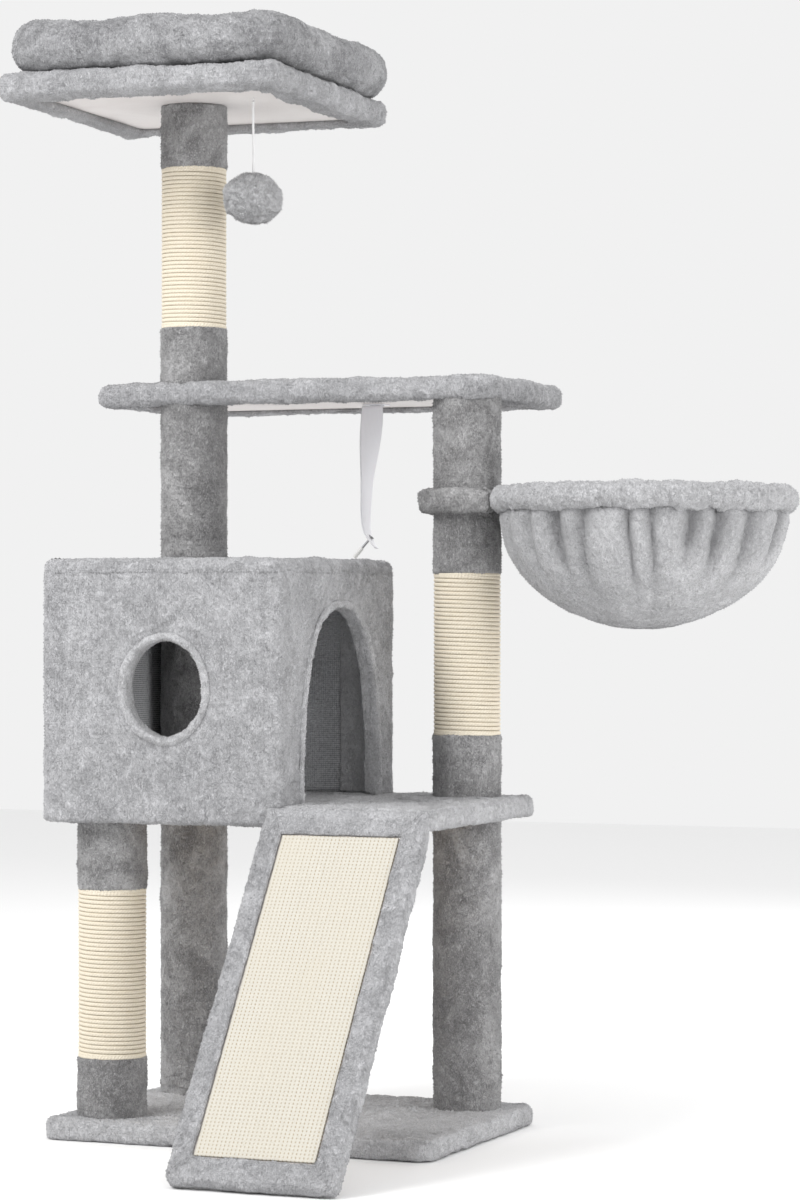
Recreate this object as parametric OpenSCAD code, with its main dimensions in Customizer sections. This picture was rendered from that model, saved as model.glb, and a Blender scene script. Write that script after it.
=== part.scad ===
// Cat tree: a plush covered base, a deck with a house, a long shelf, a top perch with a loose bed,
// a hammock on a ring, a scratching ramp, a pompom on a cord and an anti-tip strap.
// Millimetres. +Z is up, the ramp comes down towards -Y and the hammock stands out towards +X.
// The origin is the centre of the base's underside.

/* [Boards] */
// width of the base and of the deck
base_w = 500; // [400:5:600]
// depth of the base and of the deck
base_d = 350; // [300:5:450]
// thickness of the base and deck boards
board_t = 15; // [12:1:18]
// thickness of the shelf, perch and bracket boards
shelf_t = 18; // [12:1:22]
// thickness of the house's wall and roof boards
wall_t = 9; // [6:1:12]
// radius of a board's corners
corner_r = 20; // [5:1:40]

/* [Plush] */
// thickness of the plush, its pile included
pile = 5; // [3:0.5:8]
// thickness of the plush that is turned under a board
turn_t = 4; // [2:0.5:6]
// width of the plush that is turned under a board
turn_w = 30; // [20:1:45]

/* [Posts] */
// outside diameter of a covered post
post_d = 84; // [60:1:110]
// outside diameter of a post's paper tube
tube_d = 74; // [50:1:100]
// wall thickness of a post's paper tube
tube_wall = 3; // [2:0.5:6]
// distance of the left posts from the middle
post_left = 187; // [150:1:205]
// distance of the right post from the middle
post_right = 182; // [150:1:205]
// distance of the front post from the middle
post_front = 112; // [80:1:130]
// distance of the back posts from the middle
post_back = 113; // [80:1:130]
// diameter of the sisal rope
rope_d = 5; // [4:0.5:8]

/* [Levels] */
// height of the deck's underside
deck_z = 378; // [300:1:450]
// height of the hammock bracket's underside
bracket_z = 748; // [650:1:850]
// height of the shelf's underside
shelf_z = 886; // [800:1:950]
// height of the perch's underside
perch_z = 1258; // [1100:1:1400]

/* [House] */
// width of the house
house_w = 311; // [280:1:340]
// height of the house's top above the deck's underside
house_h = 312; // [280:1:360]
// distance of the window's centre from the house's left side
window_x = 163; // [120:1:200]
// height of the window's centre above the deck's underside
window_z = 159; // [120:1:200]
// width of the window inside its rim
window_w = 100; // [80:1:140]
// height of the window inside its rim
window_h = 114; // [80:1:140]
// width of the doorway inside its rim
door_w = 226; // [160:1:240]
// height of the doorway inside its rim
door_h = 230; // [180:1:250]
// distance of the doorway's middle behind the house's middle
door_back = 4; // [-20:1:20]

/* [Shelf] */
// width of the shelf
shelf_w = 531; // [450:1:600]
// depth of the shelf
shelf_d = 276; // [220:1:320]
// distance of the shelf's left edge from the middle
shelf_left = 304; // [260:1:340]
// distance of the shelf's front edge behind the middle
shelf_front = 67; // [50:1:75]

/* [Perch] */
// width of the perch
perch_w = 370; // [300:1:420]
// depth of the perch
perch_d = 412; // [300:1:450]
// turn of the perch on its post, in degrees
perch_turn = 3.5; // [-10:0.5:10]
// height of the loose bed's bolster
bolster_h = 69; // [50:1:90]
// width of the loose bed's bolster
bolster_w = 66; // [50:1:90]
// distance of the loose bed to the right of the perch's middle
bed_shift = 8; // [-15:1:15]

/* [Hammock] */
// distance of the ring's centre from the middle
ring_x = 408; // [390:1:430]
// radius of the ring, to the wire's middle
ring_r = 168; // [140:1:190]
// diameter of the ring's wire
wire_d = 8; // [6:0.5:10]
// thickness of the soft rim around the ring
rim_d = 34; // [24:1:44]
// depth of the hammock below the ring
bowl_h = 154; // [100:1:180]
// width of the bracket board
bracket_w = 120; // [90:1:140]

/* [Ramp] */
// width of the ramp
ramp_w = 203; // [160:1:240]
// length of the ramp along its slope
ramp_l = 478; // [440:1:520]
// slope of the ramp below the horizontal, in degrees
ramp_slope = 55; // [45:1:60]
// width of the sisal mat
mat_w = 145; // [100:1:180]

/* [Cords] */
// diameter of the pompom's cord
cord_d = 3; // [2:0.5:5]
// width of the pompom
pompom_w = 74; // [50:1:90]
// height of the pompom
pompom_h = 62; // [40:1:80]
// width of the strap's webbing
strap_w = 28; // [20:1:30]
// thickness of the strap's webbing
strap_t = 1.2; // [0.8:0.1:2]

/* [Hidden] */
$fn = 96;
eps = 0.01;
gap = 0.3;
post_r = post_d / 2;
tube_r = tube_d / 2;
board_z = turn_t;
base_top = turn_t + board_t;
deck_board_z = deck_z + turn_t;
deck_board_top = deck_board_z + board_t;
deck_top = deck_board_top + pile;
bracket_board_z = bracket_z + turn_t;
bracket_board_top = bracket_board_z + shelf_t;
shelf_board_z = shelf_z + turn_t;
shelf_board_top = shelf_board_z + shelf_t;
perch_board_z = perch_z + turn_t;
perch_board_top = perch_board_z + shelf_t;
perch_top = perch_board_top + pile + 1;

house_x0 = -base_w / 2;
house_x1 = house_x0 + house_w;
house_top = deck_z + house_h;
roof_z = house_top - pile - wall_t;
wall_z = deck_board_top;
in_x0 = house_x0 + pile + wall_t;
in_x1 = house_x1 - pile - wall_t;
in_y = base_d / 2 - pile - wall_t;
lining_t = 1;
window_pos = [house_x0 + window_x, deck_z + window_z];
binding = 5;
skin_r = 6;
// below 1, the doorway's arch has fuller shoulders than an ellipse
arch_power = 0.8;

left_back = [-post_left, post_back];
left_front = [-post_left, -post_front];
right_back = [post_right, post_back];

// each post: its place, its foot, its top, and where its rope starts and ends
FRONT_POST = [left_front, base_top, deck_board_z, [94, 297]];
BACK_POST = [left_back, base_top, deck_board_z, []];
RIGHT_POST = [right_back, base_top, deck_board_z, []];
HOUSE_POST = [left_back, deck_board_top, roof_z, []];
ROOF_POST = [left_back, roof_z + wall_t, shelf_board_z, []];
TOWER_POST = [left_back, shelf_board_top, perch_board_z, [982, 1184]];
LOWER_POST = [right_back, deck_board_top, bracket_board_z, [477, 675]];
UPPER_POST = [right_back, bracket_board_top, shelf_board_z, []];
POSTS = [FRONT_POST, BACK_POST, RIGHT_POST, HOUSE_POST, ROOF_POST, TOWER_POST, LOWER_POST, UPPER_POST];

bolt_r = 4;
bolt_hole_r = 4.3;
bolt_grip = 20;
head_r = 7;
head_h = 4;
washer_r = 12;
washer_t = 1.6;
sink_r = 13;
sink_h = 6;
plug_h = 20;

// the joints between two posts: place, board's underside and board's top
STUDS = [
    [left_back, deck_board_z, deck_board_top],
    [left_back, roof_z, roof_z + wall_t],
    [left_back, shelf_board_z, shelf_board_top],
    [right_back, deck_board_z, deck_board_top],
    [right_back, bracket_board_z, bracket_board_top]
];
// the bolts that go down into a post's top: place and board's top
TOP_BOLTS = [
    [left_front, deck_board_top, board_t],
    [right_back, shelf_board_top, shelf_t],
    [left_back, perch_board_top, shelf_t]
];

perch_pos = [-186, 120];
bed_r = 34;
// how far the bolster reaches past the perch, in all
bed_over_w = 18;
bed_over_d = 12;
bolster_sides = 16;
bolster_steps = 8;
bed_z = perch_top + gap;

ring_pos = [ring_x, post_back, bracket_board_z + shelf_t / 2 + 1];
tail_y = 32;
tail_end = post_right + post_r - 20;
tail_r = wire_d / 2 - 0.4;
// room that the rim's stuffing leaves round the wire
rim_room = 1;
ring_bore_r = tail_r + 0.1;
ring_screw_x = tail_end + 12;
screw_r = 1.5;
screw_l = 28;
bracket_r = bracket_w / 2;
bowl_t = 5;
// the bowl's outside below the ring: radius and depth as shares of the ring's radius and the bowl's depth
BOWL = [[1.03, 0.09], [1.01, 0.24], [0.965, 0.41], [0.89, 0.55], [0.79, 0.67], [0.67, 0.77],
    [0.52, 0.865], [0.35, 0.94], [0.18, 0.985], [0, 1]];

ramp_x = 47;
// the ramp's layers above and below the hinge's axis, square to its slope
ramp_board_high = -0.6;
ramp_board_low = ramp_board_high - board_t;
ramp_low = ramp_board_low - turn_t;
ramp_high = ramp_board_high + pile;
pivot = [ramp_x + ramp_w / 2, -base_d / 2 - 1.5, deck_board_top + 1];
ramp_board_w = ramp_w - 2 * pile;
mat_end = 34;
leaf_w = 30;
leaf_l = 22;
leaf_t = 1.2;
knuckle_r = 2.2;
leaf_start = knuckle_r + 2 * gap;
middle_w = 10;
pin_r = 1.2;

swivel_z = perch_board_z - 1.8;
swivel_r = 1.4;
knot_r = 3;
knot_z = perch_board_top + 3;
// the pompom's cord from the perch's underside down to the ball
cord_pos = [-84, 68];
CORD_ROUTE = [
    [-84, 68, 1258.4], [-84, 68, 1254], [-84.1, 68, 1248], [-84.2, 67.9, 1241], [-84.2, 67.8, 1234],
    [-84.1, 67.8, 1227], [-84, 67.8, 1220], [-83.8, 67.9, 1213], [-83.7, 68, 1206], [-83.6, 68.1, 1199],
    [-83.6, 68.1, 1192], [-83.7, 68.1, 1185], [-83.8, 68, 1178], [-84, 68, 1172], [-84, 68, 1168.2]
];
pompom_z = CORD_ROUTE[len(CORD_ROUTE) - 1][2] - pompom_h / 2;

// the strap from its fold under the shelf down to its free end, with the turn of its width from +X
strap_pos = [11, 220];
STRAP_ROUTE = [
    [11, 220, 888.4, 0], [11, 219.8, 882, 5], [10.8, 219.5, 872, 16], [10.2, 219, 860, 28],
    [9.2, 218.8, 846, 41], [8, 218.8, 832, 54], [6.8, 219, 818, 65], [5.6, 219.2, 804, 74],
    [4.6, 219.4, 790, 80], [3.8, 219.6, 776, 83], [3.2, 219.8, 762, 85], [2.9, 219.8, 749, 87],
    [3.4, 219.6, 738, 90], [5.2, 219.4, 728, 94], [8.6, 219.4, 720, 99], [13, 219.6, 713, 103],
    [18, 219.8, 707, 106]
];
tab_l = 28;
tab_z = shelf_board_z - strap_t;
tab_screw = [strap_pos[0], strap_pos[1] + 16];
tab_screw_r = 1.8;
tab_head_r = 4.5;
tab_bite = 14;
// the screw through the strap's free end points down and to the left
wall_screw_pos = [8.6, 219.4, 720];
wall_screw_tilt = 140;
wall_screw_turn = 203;
wall_screw_l = 31;
plug_start = 16;

// the sub-part to draw, or all of them

// ---------- shared shapes ----------

// a rectangle with round corners, about the origin
module round_rect(w, d, r) {
    square([w - 2 * r, d], center = true);
    square([w, d - 2 * r], center = true);
    for (x = [-1, 1], y = [-1, 1])
        translate([x * (w / 2 - r), y * (d / 2 - r)]) circle(r);
}

module slab(w, d, r, z0, z1) {
    translate([0, 0, z0]) linear_extrude(z1 - z0) round_rect(w, d, r);
}

// a board inset from the outside of its cover by the plush
module board(w, d, z, t) {
    slab(w - 2 * pile, d - 2 * pile, corner_r - pile, z, z + t);
}

// plush over a board's top and edges, turned under all round
module wrap(w, d, z, t, over) {
    difference() {
        slab(w, d, corner_r, z, z + turn_t + t + over);
        board(w, d, z + turn_t, t);
        slab(w - 2 * turn_w, d - 2 * turn_w, corner_r / 2, z - 1, z + turn_t + 1);
    }
}

module at(pos) {
    translate([pos[0], pos[1], 0]) children();
}

module rod(r, z0, z1) {
    translate([0, 0, z0]) cylinder(r = r, h = z1 - z0);
}

module pipe(outer, inner, z0, z1) {
    difference() {
        rod(outer, z0, z1);
        rod(inner, z0 - 1, z1 + 1);
    }
}

// room around posts that pass or meet a cover
module post_room(z0, z1, places) {
    for (p = places)
        at(p) rod(post_r + gap, z0, z1);
}

function oval(w, h) = [for (i = [0:47]) [w / 2 * cos(i * 7.5), h / 2 * sin(i * 7.5)]];

// a tall arch with full shoulders, standing on its foot line, that reaches down by foot
function arch(w, h, foot) = concat(
    [[w / 2, -foot]],
    [for (i = [0:36])
        let(a = i * 5)
        [w / 2 * sign(cos(a)) * pow(abs(cos(a)), arch_power), h * pow(sin(a), arch_power)]],
    [[-w / 2, -foot]]
);

// a cylinder through the front wall, of the window's outline
module window_hole(grow_w, grow_h, y0, y1) {
    translate([window_pos[0], y1, window_pos[1]]) rotate([90, 0, 0])
        linear_extrude(y1 - y0) polygon(oval(window_w + grow_w, window_h + grow_h));
}

module door_hole(grow, x0, x1, foot) {
    translate([x0, door_back, deck_top]) rotate([90, 0, 90])
        linear_extrude(x1 - x0) polygon(arch(door_w + 2 * grow, door_h + grow, foot));
}

// ---------- sweeps for cords ----------

function unit(v) = v / norm(v);
function along(pts, i) = unit(pts[min(i + 1, len(pts) - 1)] - pts[max(i - 1, 0)]);
// triangles between neighbouring rings of m points; side "turned" is split along its other diagonal
function ring_faces(n, m, turned = -1) = [
    for (i = [0:n - 2], j = [0:m - 1])
        let(a = i * m + j, b = i * m + (j + 1) % m)
            each (j == turned ? [[a, a + m, b], [b, a + m, b + m]] : [[a, a + m, b + m], [a, b + m, b]])
];
function caps(n, m) = [[for (j = [0:m - 1]) j], [for (j = [m - 1:-1:0]) (n - 1) * m + j]];

// a tube along pts, which run downwards
module tube_along(pts, r, sides) {
    rings = [
        for (i = [0:len(pts) - 1])
            let(t = along(pts, i), u = unit(cross(t, [0, 1, 0])), v = cross(t, u))
            for (j = [0:sides - 1])
                pts[i] + r * (cos(360 * j / sides) * u + sin(360 * j / sides) * v)
    ];
    polyhedron(rings, concat(ring_faces(len(pts), sides), caps(len(pts), sides)), convexity = 4);
}

// flat webbing along pts of [x, y, z, turn], which run downwards
module band_along(pts, w, t) {
    rings = [
        for (p = pts)
            let(u = [cos(p[3]), sin(p[3]), 0], v = [-sin(p[3]), cos(p[3]), 0], c = [p[0], p[1], p[2]])
            for (s = [[-1, -1], [-1, 1], [1, 1], [1, -1]])
                c + s[0] * w / 2 * u + s[1] * t / 2 * v
    ];
    polyhedron(rings, concat(ring_faces(len(pts), 4, 3), caps(len(pts), 4)), convexity = 6);
}

// ---------- posts ----------

// the paper tubes, cut to length from one stock
module post_tubes() {
    color("BurlyWood") for (p = POSTS)
        at(p[0]) pipe(tube_r, tube_r - tube_wall, p[1], p[2]);
}

// the plush stops above and below the rope
module post_sleeve(p) {
    color("DarkGray") at(p[0]) {
        if (len(p[3]) == 0) {
            pipe(post_r, tube_r, p[1], p[2]);
        } else {
            pipe(post_r, tube_r, p[1], p[3][0]);
            pipe(post_r, tube_r, p[3][1], p[2]);
        }
    }
}

// the rope's turns lie side by side on the tube
module post_rope(p) {
    turns = floor((p[3][1] - p[3][0]) / rope_d);
    pitch = (p[3][1] - p[3][0]) / turns;
    lay_r = tube_r + rope_d / 2;
    color("Wheat") at(p[0]) rotate_extrude()
        union() {
            translate([tube_r, p[3][0] + 0.2]) square([rope_d * 0.6, p[3][1] - p[3][0] - 0.4]);
            for (i = [0:turns - 1])
                translate([lay_r, p[3][0] + pitch * (i + 0.5)]) circle(r = rope_d / 2 - 0.1, $fn = 24);
        }
}

module front_post_sleeve() post_sleeve(FRONT_POST);
module front_post_rope() post_rope(FRONT_POST);
module back_post_sleeve() post_sleeve(BACK_POST);
module right_post_sleeve() post_sleeve(RIGHT_POST);
module house_post_sleeve() post_sleeve(HOUSE_POST);
module roof_post_sleeve() post_sleeve(ROOF_POST);
module tower_post_sleeve() post_sleeve(TOWER_POST);
module tower_post_rope() post_rope(TOWER_POST);
module lower_post_sleeve() post_sleeve(LOWER_POST);
module lower_post_rope() post_rope(LOWER_POST);
module upper_post_sleeve() post_sleeve(UPPER_POST);

// a wooden plug in each end of each tube, bored for its bolt
module post_plugs() {
    color("Tan") for (p = POSTS, z = [p[1], p[2] - plug_h])
        at(p[0]) pipe(tube_r - tube_wall - 0.05, bolt_r + 0.1, z, z + plug_h);
}

// ---------- bolts ----------

module hex_socket_bolt(reach) {
    difference() {
        union() {
            rod(head_r, 0, head_h);
            rod(bolt_r, head_h - eps, reach);
        }
        translate([0, 0, -1]) cylinder(r = 2.9, h = 3.5, $fn = 6);
    }
}

module base_bolts() {
    color("Silver") for (p = [left_front, left_back, right_back])
        translate([p[0], p[1], board_z + 0.3])
            hex_socket_bolt(base_top + bolt_grip - board_z - 2);
}

module top_bolts() {
    color("Silver") for (b = TOP_BOLTS)
        translate([b[0][0], b[0][1], b[1] - 0.3]) mirror([0, 0, 1])
            hex_socket_bolt(b[2] + bolt_grip - 2);
}

module washers() {
    color("Gainsboro") {
        for (p = [left_front, left_back, right_back])
            at(p) pipe(washer_r, bolt_hole_r, board_z + sink_h - washer_t, board_z + sink_h);
        for (b = TOP_BOLTS)
            at(b[0]) pipe(washer_r, bolt_hole_r, b[1] - sink_h, b[1] - sink_h + washer_t);
        at(tab_screw) pipe(2 * tab_head_r, tab_screw_r + 0.3, tab_z - washer_t, tab_z);
    }
}

module joining_studs() {
    color("Silver") for (s = STUDS)
        at(s[0]) rod(bolt_r, s[1] - bolt_grip + 2, s[2] + bolt_grip - 2);
}

module stud_holes(z0, z1) {
    for (s = STUDS)
        at(s[0]) rod(bolt_hole_r, z0, z1);
}

// a bolt hole through a board with a sink for the washer and head in its top
module top_bolt_hole(b) {
    at(b[0]) {
        rod(bolt_hole_r, b[1] - b[2] - 1, b[1] + 1);
        rod(sink_r, b[1] - sink_h, b[1] + 1);
    }
}

// ---------- base ----------

module base_board() {
    color("Tan") difference() {
        board(base_w, base_d, board_z, board_t);
        for (p = [left_front, left_back, right_back])
            at(p) {
                rod(bolt_hole_r, board_z - 1, base_top + 1);
                rod(sink_r, board_z - 1, board_z + sink_h);
            }
    }
}

module base_cover() {
    color("Silver") difference() {
        wrap(base_w, base_d, 0, board_t, pile);
        post_room(base_top - eps, base_top + pile + 1, [left_front, left_back, right_back]);
        for (p = [left_front, left_back, right_back])
            at(p) rod(sink_r + 2, -1, board_z + eps);
    }
}

// ---------- deck ----------

module deck_board() {
    color("Tan") difference() {
        board(base_w, base_d, deck_board_z, board_t);
        stud_holes(deck_board_z - 1, deck_board_top + 1);
        top_bolt_hole(TOP_BOLTS[0]);
        house_screws_shape();
    }
}

// the house stands on the left part, so there the plush is only the floor inside the walls
module deck_cover() {
    step_x = house_x1 + gap;
    color("Silver") difference() {
        union() {
            intersection() {
                wrap(base_w, base_d, deck_z, board_t, pile);
                translate([step_x, -base_d, 0]) cube([base_w, 2 * base_d, 2 * deck_top]);
            }
            translate([in_x0 + lining_t, -in_y + lining_t, deck_board_top])
                cube([in_x1 - in_x0 - lining_t, 2 * (in_y - lining_t), pile]);
            translate([in_x1 - eps, door_back - door_w / 2, deck_board_top])
                cube([step_x - in_x1 + 2 * eps, door_w, pile]);
        }
        post_room(deck_board_top - eps, deck_top + 1, [left_back, right_back]);
        post_room(deck_z - 1, deck_board_z + eps, [right_back]);
        deck_hinge_room();
    }
}

// ---------- house ----------

module house_box(x0, x1, y, z0, z1) {
    translate([x0, -y, z0]) cube([x1 - x0, 2 * y, z1 - z0]);
}

module countersunk_screw() {
    cylinder(r = screw_r, h = screw_l);
    cylinder(r1 = 3, r2 = screw_r, h = 2, $fn = 24);
}

// screws from the front, back, roof and deck boards into the edges of the side walls
module house_screws_shape() {
    wall_mid = [in_x0 - wall_t / 2, in_x1 + wall_t / 2];
    for (x = wall_mid, side = [-1, 1], z = [wall_z + 35, roof_z - 35])
        translate([x, side * (in_y + wall_t), z]) rotate([side * 90, 0, 0]) countersunk_screw();
    for (x = wall_mid, y = [-145, 145]) {
        translate([x, y, roof_z + wall_t]) rotate([180, 0, 0]) countersunk_screw();
        translate([x, y, deck_board_z]) countersunk_screw();
    }
}

module house_screws() {
    color("Silver") house_screws_shape();
}

module front_wall() {
    color("Tan") difference() {
        translate([in_x0 - wall_t, -in_y - wall_t, wall_z])
            cube([in_x1 - in_x0 + 2 * wall_t, wall_t, roof_z - wall_z]);
        window_hole(2 * binding, 2 * binding + 4, -in_y - wall_t - 1, -in_y + 1);
        house_screws_shape();
    }
}

module back_wall() {
    color("Tan") difference() {
        translate([in_x0 - wall_t, in_y, wall_z])
            cube([in_x1 - in_x0 + 2 * wall_t, wall_t, roof_z - wall_z]);
        house_screws_shape();
    }
}

module left_wall() {
    color("Tan") difference() {
        translate([in_x0 - wall_t, -in_y, wall_z]) cube([wall_t, 2 * in_y, roof_z - wall_z]);
        house_screws_shape();
    }
}

module right_wall() {
    color("Tan") difference() {
        translate([in_x1, -in_y, wall_z]) cube([wall_t, 2 * in_y, roof_z - wall_z]);
        door_hole(binding, in_x1 - 1, in_x1 + wall_t + 1, 2 * pile);
        house_screws_shape();
    }
}

module roof_board() {
    color("Tan") difference() {
        house_box(in_x0 - wall_t, in_x1 + wall_t, in_y + wall_t, roof_z, roof_z + wall_t);
        stud_holes(roof_z - 1, roof_z + wall_t + 1);
        house_screws_shape();
    }
}

module house_skin(z0, z1) {
    translate([house_x0 + house_w / 2, 0, 0]) slab(house_w, base_d, skin_r, z0, z1);
}

// one sewn sleeve around the four walls that also covers the deck's edge under them
module house_cover() {
    color("Silver") difference() {
        house_skin(deck_z, roof_z);
        house_box(in_x0 - wall_t, in_x1 + wall_t, in_y + wall_t, deck_board_top - eps, roof_z + 1);
        house_box(in_x0 - wall_t, house_x1 + 1, in_y + wall_t, deck_board_z, deck_board_top);
        house_box(house_x0 + turn_w, house_x1 + 1, base_d / 2 - turn_w, deck_z - 1, deck_board_z + eps);
        post_room(deck_z - 1, deck_board_z + eps, [left_front, left_back]);
        window_hole(2 * binding, 2 * binding + 4, -base_d / 2 - 1, -in_y);
        door_hole(binding, in_x1, house_x1 + 1, 2 * pile);
    }
}

module house_lining() {
    color("DimGray") difference() {
        house_box(in_x0, in_x1, in_y, deck_top, roof_z);
        house_box(in_x0 + lining_t, in_x1 - lining_t, in_y - lining_t, deck_top - 1, roof_z - lining_t);
        window_hole(2 * binding + 1, 2 * binding + 5, -in_y - 1, -in_y + 2 * lining_t);
        door_hole(binding + 0.5, in_x1 - 2 * lining_t, in_x1 + 1, pile);
        post_room(deck_top, roof_z + 1, [left_back]);
    }
}

// a strip of plush up the inside of the back wall, beside the doorway
module back_trim() {
    color("Silver") translate([in_x1 - 52, in_y - lining_t - pile, deck_top])
        cube([50, pile, roof_z - lining_t - deck_top]);
}

// the plush is bound round the window's edge and stands a little proud of both faces
module window_rim() {
    color("Gainsboro") difference() {
        union() {
            window_hole(2 * binding, 2 * binding + 4, -base_d / 2 - 3, -in_y + 4);
            window_hole(14, 21, -base_d / 2 - 3, -base_d / 2);
        }
        window_hole(0, 0, -base_d / 2 - 4, -in_y + 5);
    }
}

module door_rim() {
    color("Gainsboro") difference() {
        union() {
            door_hole(binding, in_x1 - 3, house_x1 + 3, pile);
            door_hole(binding + 4, house_x1, house_x1 + 3, pile);
        }
        door_hole(0, in_x1 - 4, house_x1 + 4, 2 * pile);
        translate([in_x1 - 10, -base_d / 2, deck_z]) cube([house_w, base_d, deck_top - deck_z + gap]);
    }
}

module roof_cover() {
    color("Silver") difference() {
        house_skin(roof_z + gap, house_top);
        house_box(in_x0 - wall_t, in_x1 + wall_t, in_y + wall_t, roof_z - 1, roof_z + wall_t);
        post_room(roof_z, house_top + 1, [left_back]);
    }
}

// ---------- shelf ----------

module on_shelf() {
    translate([shelf_w / 2 - shelf_left, shelf_front + shelf_d / 2, 0]) children();
}

module shelf_board() {
    color("AntiqueWhite") difference() {
        on_shelf() board(shelf_w, shelf_d, shelf_board_z, shelf_t);
        stud_holes(shelf_board_z - 1, shelf_board_top + 1);
        top_bolt_hole(TOP_BOLTS[1]);
        at(tab_screw) rod(tab_screw_r + 0.05, shelf_board_z - 1, shelf_board_z + tab_bite);
    }
}

module shelf_cover() {
    color("Silver") difference() {
        on_shelf() wrap(shelf_w, shelf_d, shelf_z, shelf_t, pile);
        post_room(shelf_z - 1, shelf_board_z + eps, [left_back, right_back]);
        post_room(shelf_board_top - eps, shelf_board_top + pile + 1, [left_back]);
    }
}

// ---------- perch and its loose bed ----------

module on_perch(shift = 0) {
    at(perch_pos) rotate([0, 0, perch_turn]) translate([shift, 0, 0]) children();
}

module perch_board() {
    color("AntiqueWhite") difference() {
        on_perch() board(perch_w, perch_d, perch_board_z, shelf_t);
        top_bolt_hole(TOP_BOLTS[2]);
        at(cord_pos) rod(cord_d / 2 + 0.1, perch_z, perch_board_top + 1);
    }
}

module perch_cover() {
    color("Silver") difference() {
        on_perch() wrap(perch_w, perch_d, perch_z, shelf_t, perch_top - perch_board_top);
        at(cord_pos) rod(knot_r + 0.2, perch_board_top - eps, perch_top + 1);
    }
}

// a closed tube of oval section round a rectangle with round corners
module bed_bolster() {
    w = perch_w + bed_over_w - bolster_w;
    d = perch_d + bed_over_d - bolster_w;
    r = bed_r;
    path = [
        for (c = [[1, 1, 0], [-1, 1, 90], [-1, -1, 180], [1, -1, 270]], i = [0:bolster_steps])
            let(a = c[2] + i * 90 / bolster_steps)
            [c[0] * (w / 2 - r) + r * cos(a), c[1] * (d / 2 - r) + r * sin(a), a]
    ];
    n = len(path);
    m = bolster_sides;
    rings = [
        for (p = path, j = [0:m - 1])
            let(b = 360 * j / m, u = bolster_w / 2 * cos(b))
            [p[0] + u * cos(p[2]), p[1] + u * sin(p[2]), bed_z + bolster_h / 2 * (1 + sin(b))]
    ];
    faces = [
        for (i = [0:n - 1], j = [0:m - 1])
            [i * m + j, i * m + (j + 1) % m, ((i + 1) % n) * m + (j + 1) % m, ((i + 1) % n) * m + j]
    ];
    color("LightGray") on_perch(bed_shift) polyhedron(rings, faces, convexity = 6);
}

// the flat cushion that the bolster is sewn around
module bed_pad() {
    color("LightGray") on_perch(bed_shift)
        slab(perch_w + bed_over_w - 2 * bolster_w - 1, perch_d + bed_over_d - 2 * bolster_w - 1,
            bed_r / 2, bed_z, bed_z + 26);
}

// ---------- hammock ----------

module bracket_plan(grow) {
    translate([post_right, post_back]) circle(bracket_r + grow);
    translate([post_right, post_back - bracket_r - grow])
        square([ring_pos[0] - ring_r - post_right, bracket_w + 2 * grow]);
}

module ring_room(extra, z0, z1) {
    at(ring_pos) rod(ring_r + rim_d / 2 + extra, z0, z1);
}

module bracket_board() {
    color("Tan") difference() {
        translate([0, 0, bracket_board_z]) linear_extrude(shelf_t) bracket_plan(-pile);
        ring_room(1.5, bracket_z, bracket_board_top + 1);
        stud_holes(bracket_board_z - 1, bracket_board_top + 1);
        for (y = [-1, 1])
            translate([tail_end - 1, post_back + y * tail_y, ring_pos[2]]) rotate([0, 90, 0])
                cylinder(r = ring_bore_r, h = 60);
        for (y = [-1, 1])
            translate([ring_screw_x, post_back + y * tail_y, 0]) rod(screw_r + 0.05, bracket_z, ring_pos[2]);
    }
}

module bracket_cover() {
    color("Silver") difference() {
        translate([0, 0, bracket_z]) linear_extrude(shelf_t + turn_t + pile + 1) bracket_plan(0);
        translate([0, 0, bracket_board_z]) linear_extrude(shelf_t) bracket_plan(-pile);
        translate([0, 0, bracket_z - 1]) linear_extrude(turn_t + 1 + eps) bracket_plan(-post_r * 0.35);
        ring_room(1.5, bracket_z - 1, bracket_board_top + pile + 2);
        post_room(bracket_z - 1, bracket_board_z + eps, [right_back]);
        post_room(bracket_board_top - eps, bracket_board_top + pile + 2, [right_back]);
    }
}

// a welded wire ring whose two straight tails go into bores in the bracket's end
module hammock_ring() {
    tail_l = ring_pos[0] - sqrt(ring_r * ring_r - tail_y * tail_y) - tail_end + wire_d / 4;
    color("Silver") {
        translate(ring_pos) rotate_extrude() translate([ring_r, 0]) circle(r = wire_d / 2, $fn = 32);
        for (y = [-1, 1])
            difference() {
                translate([tail_end, post_back + y * tail_y, ring_pos[2]]) rotate([0, 90, 0])
                    cylinder(r = tail_r, h = tail_l);
                translate([ring_screw_x, post_back + y * tail_y, 0])
                    rod(screw_r + 0.05, bracket_z, ring_pos[2] - tail_r + 1.2);
            }
    }
}

// a screw up through the bracket into each tail
module ring_screws() {
    color("Silver") for (y = [-1, 1])
        translate([ring_screw_x, post_back + y * tail_y, 0]) {
            rod(3, bracket_board_z - 2, bracket_board_z);
            rod(screw_r, bracket_board_z - eps, ring_pos[2] - tail_r + 1);
        }
}

// the rim's casing is open where the ring's tails come out
module hammock_rim() {
    bore_l = ring_pos[0] - ring_r - tail_end + rim_d / 3;
    color("LightGray") difference() {
        translate(ring_pos) rotate_extrude() translate([ring_r, 0]) circle(r = rim_d / 2, $fn = 48);
        translate(ring_pos) rotate_extrude() translate([ring_r, 0])
            circle(r = wire_d / 2 + rim_room, $fn = 32);
        for (y = [-1, 1])
            translate([tail_end, post_back + y * tail_y, ring_pos[2]]) rotate([0, 90, 0])
                cylinder(r = wire_d / 2 + gap, h = bore_l);
    }
}

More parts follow.
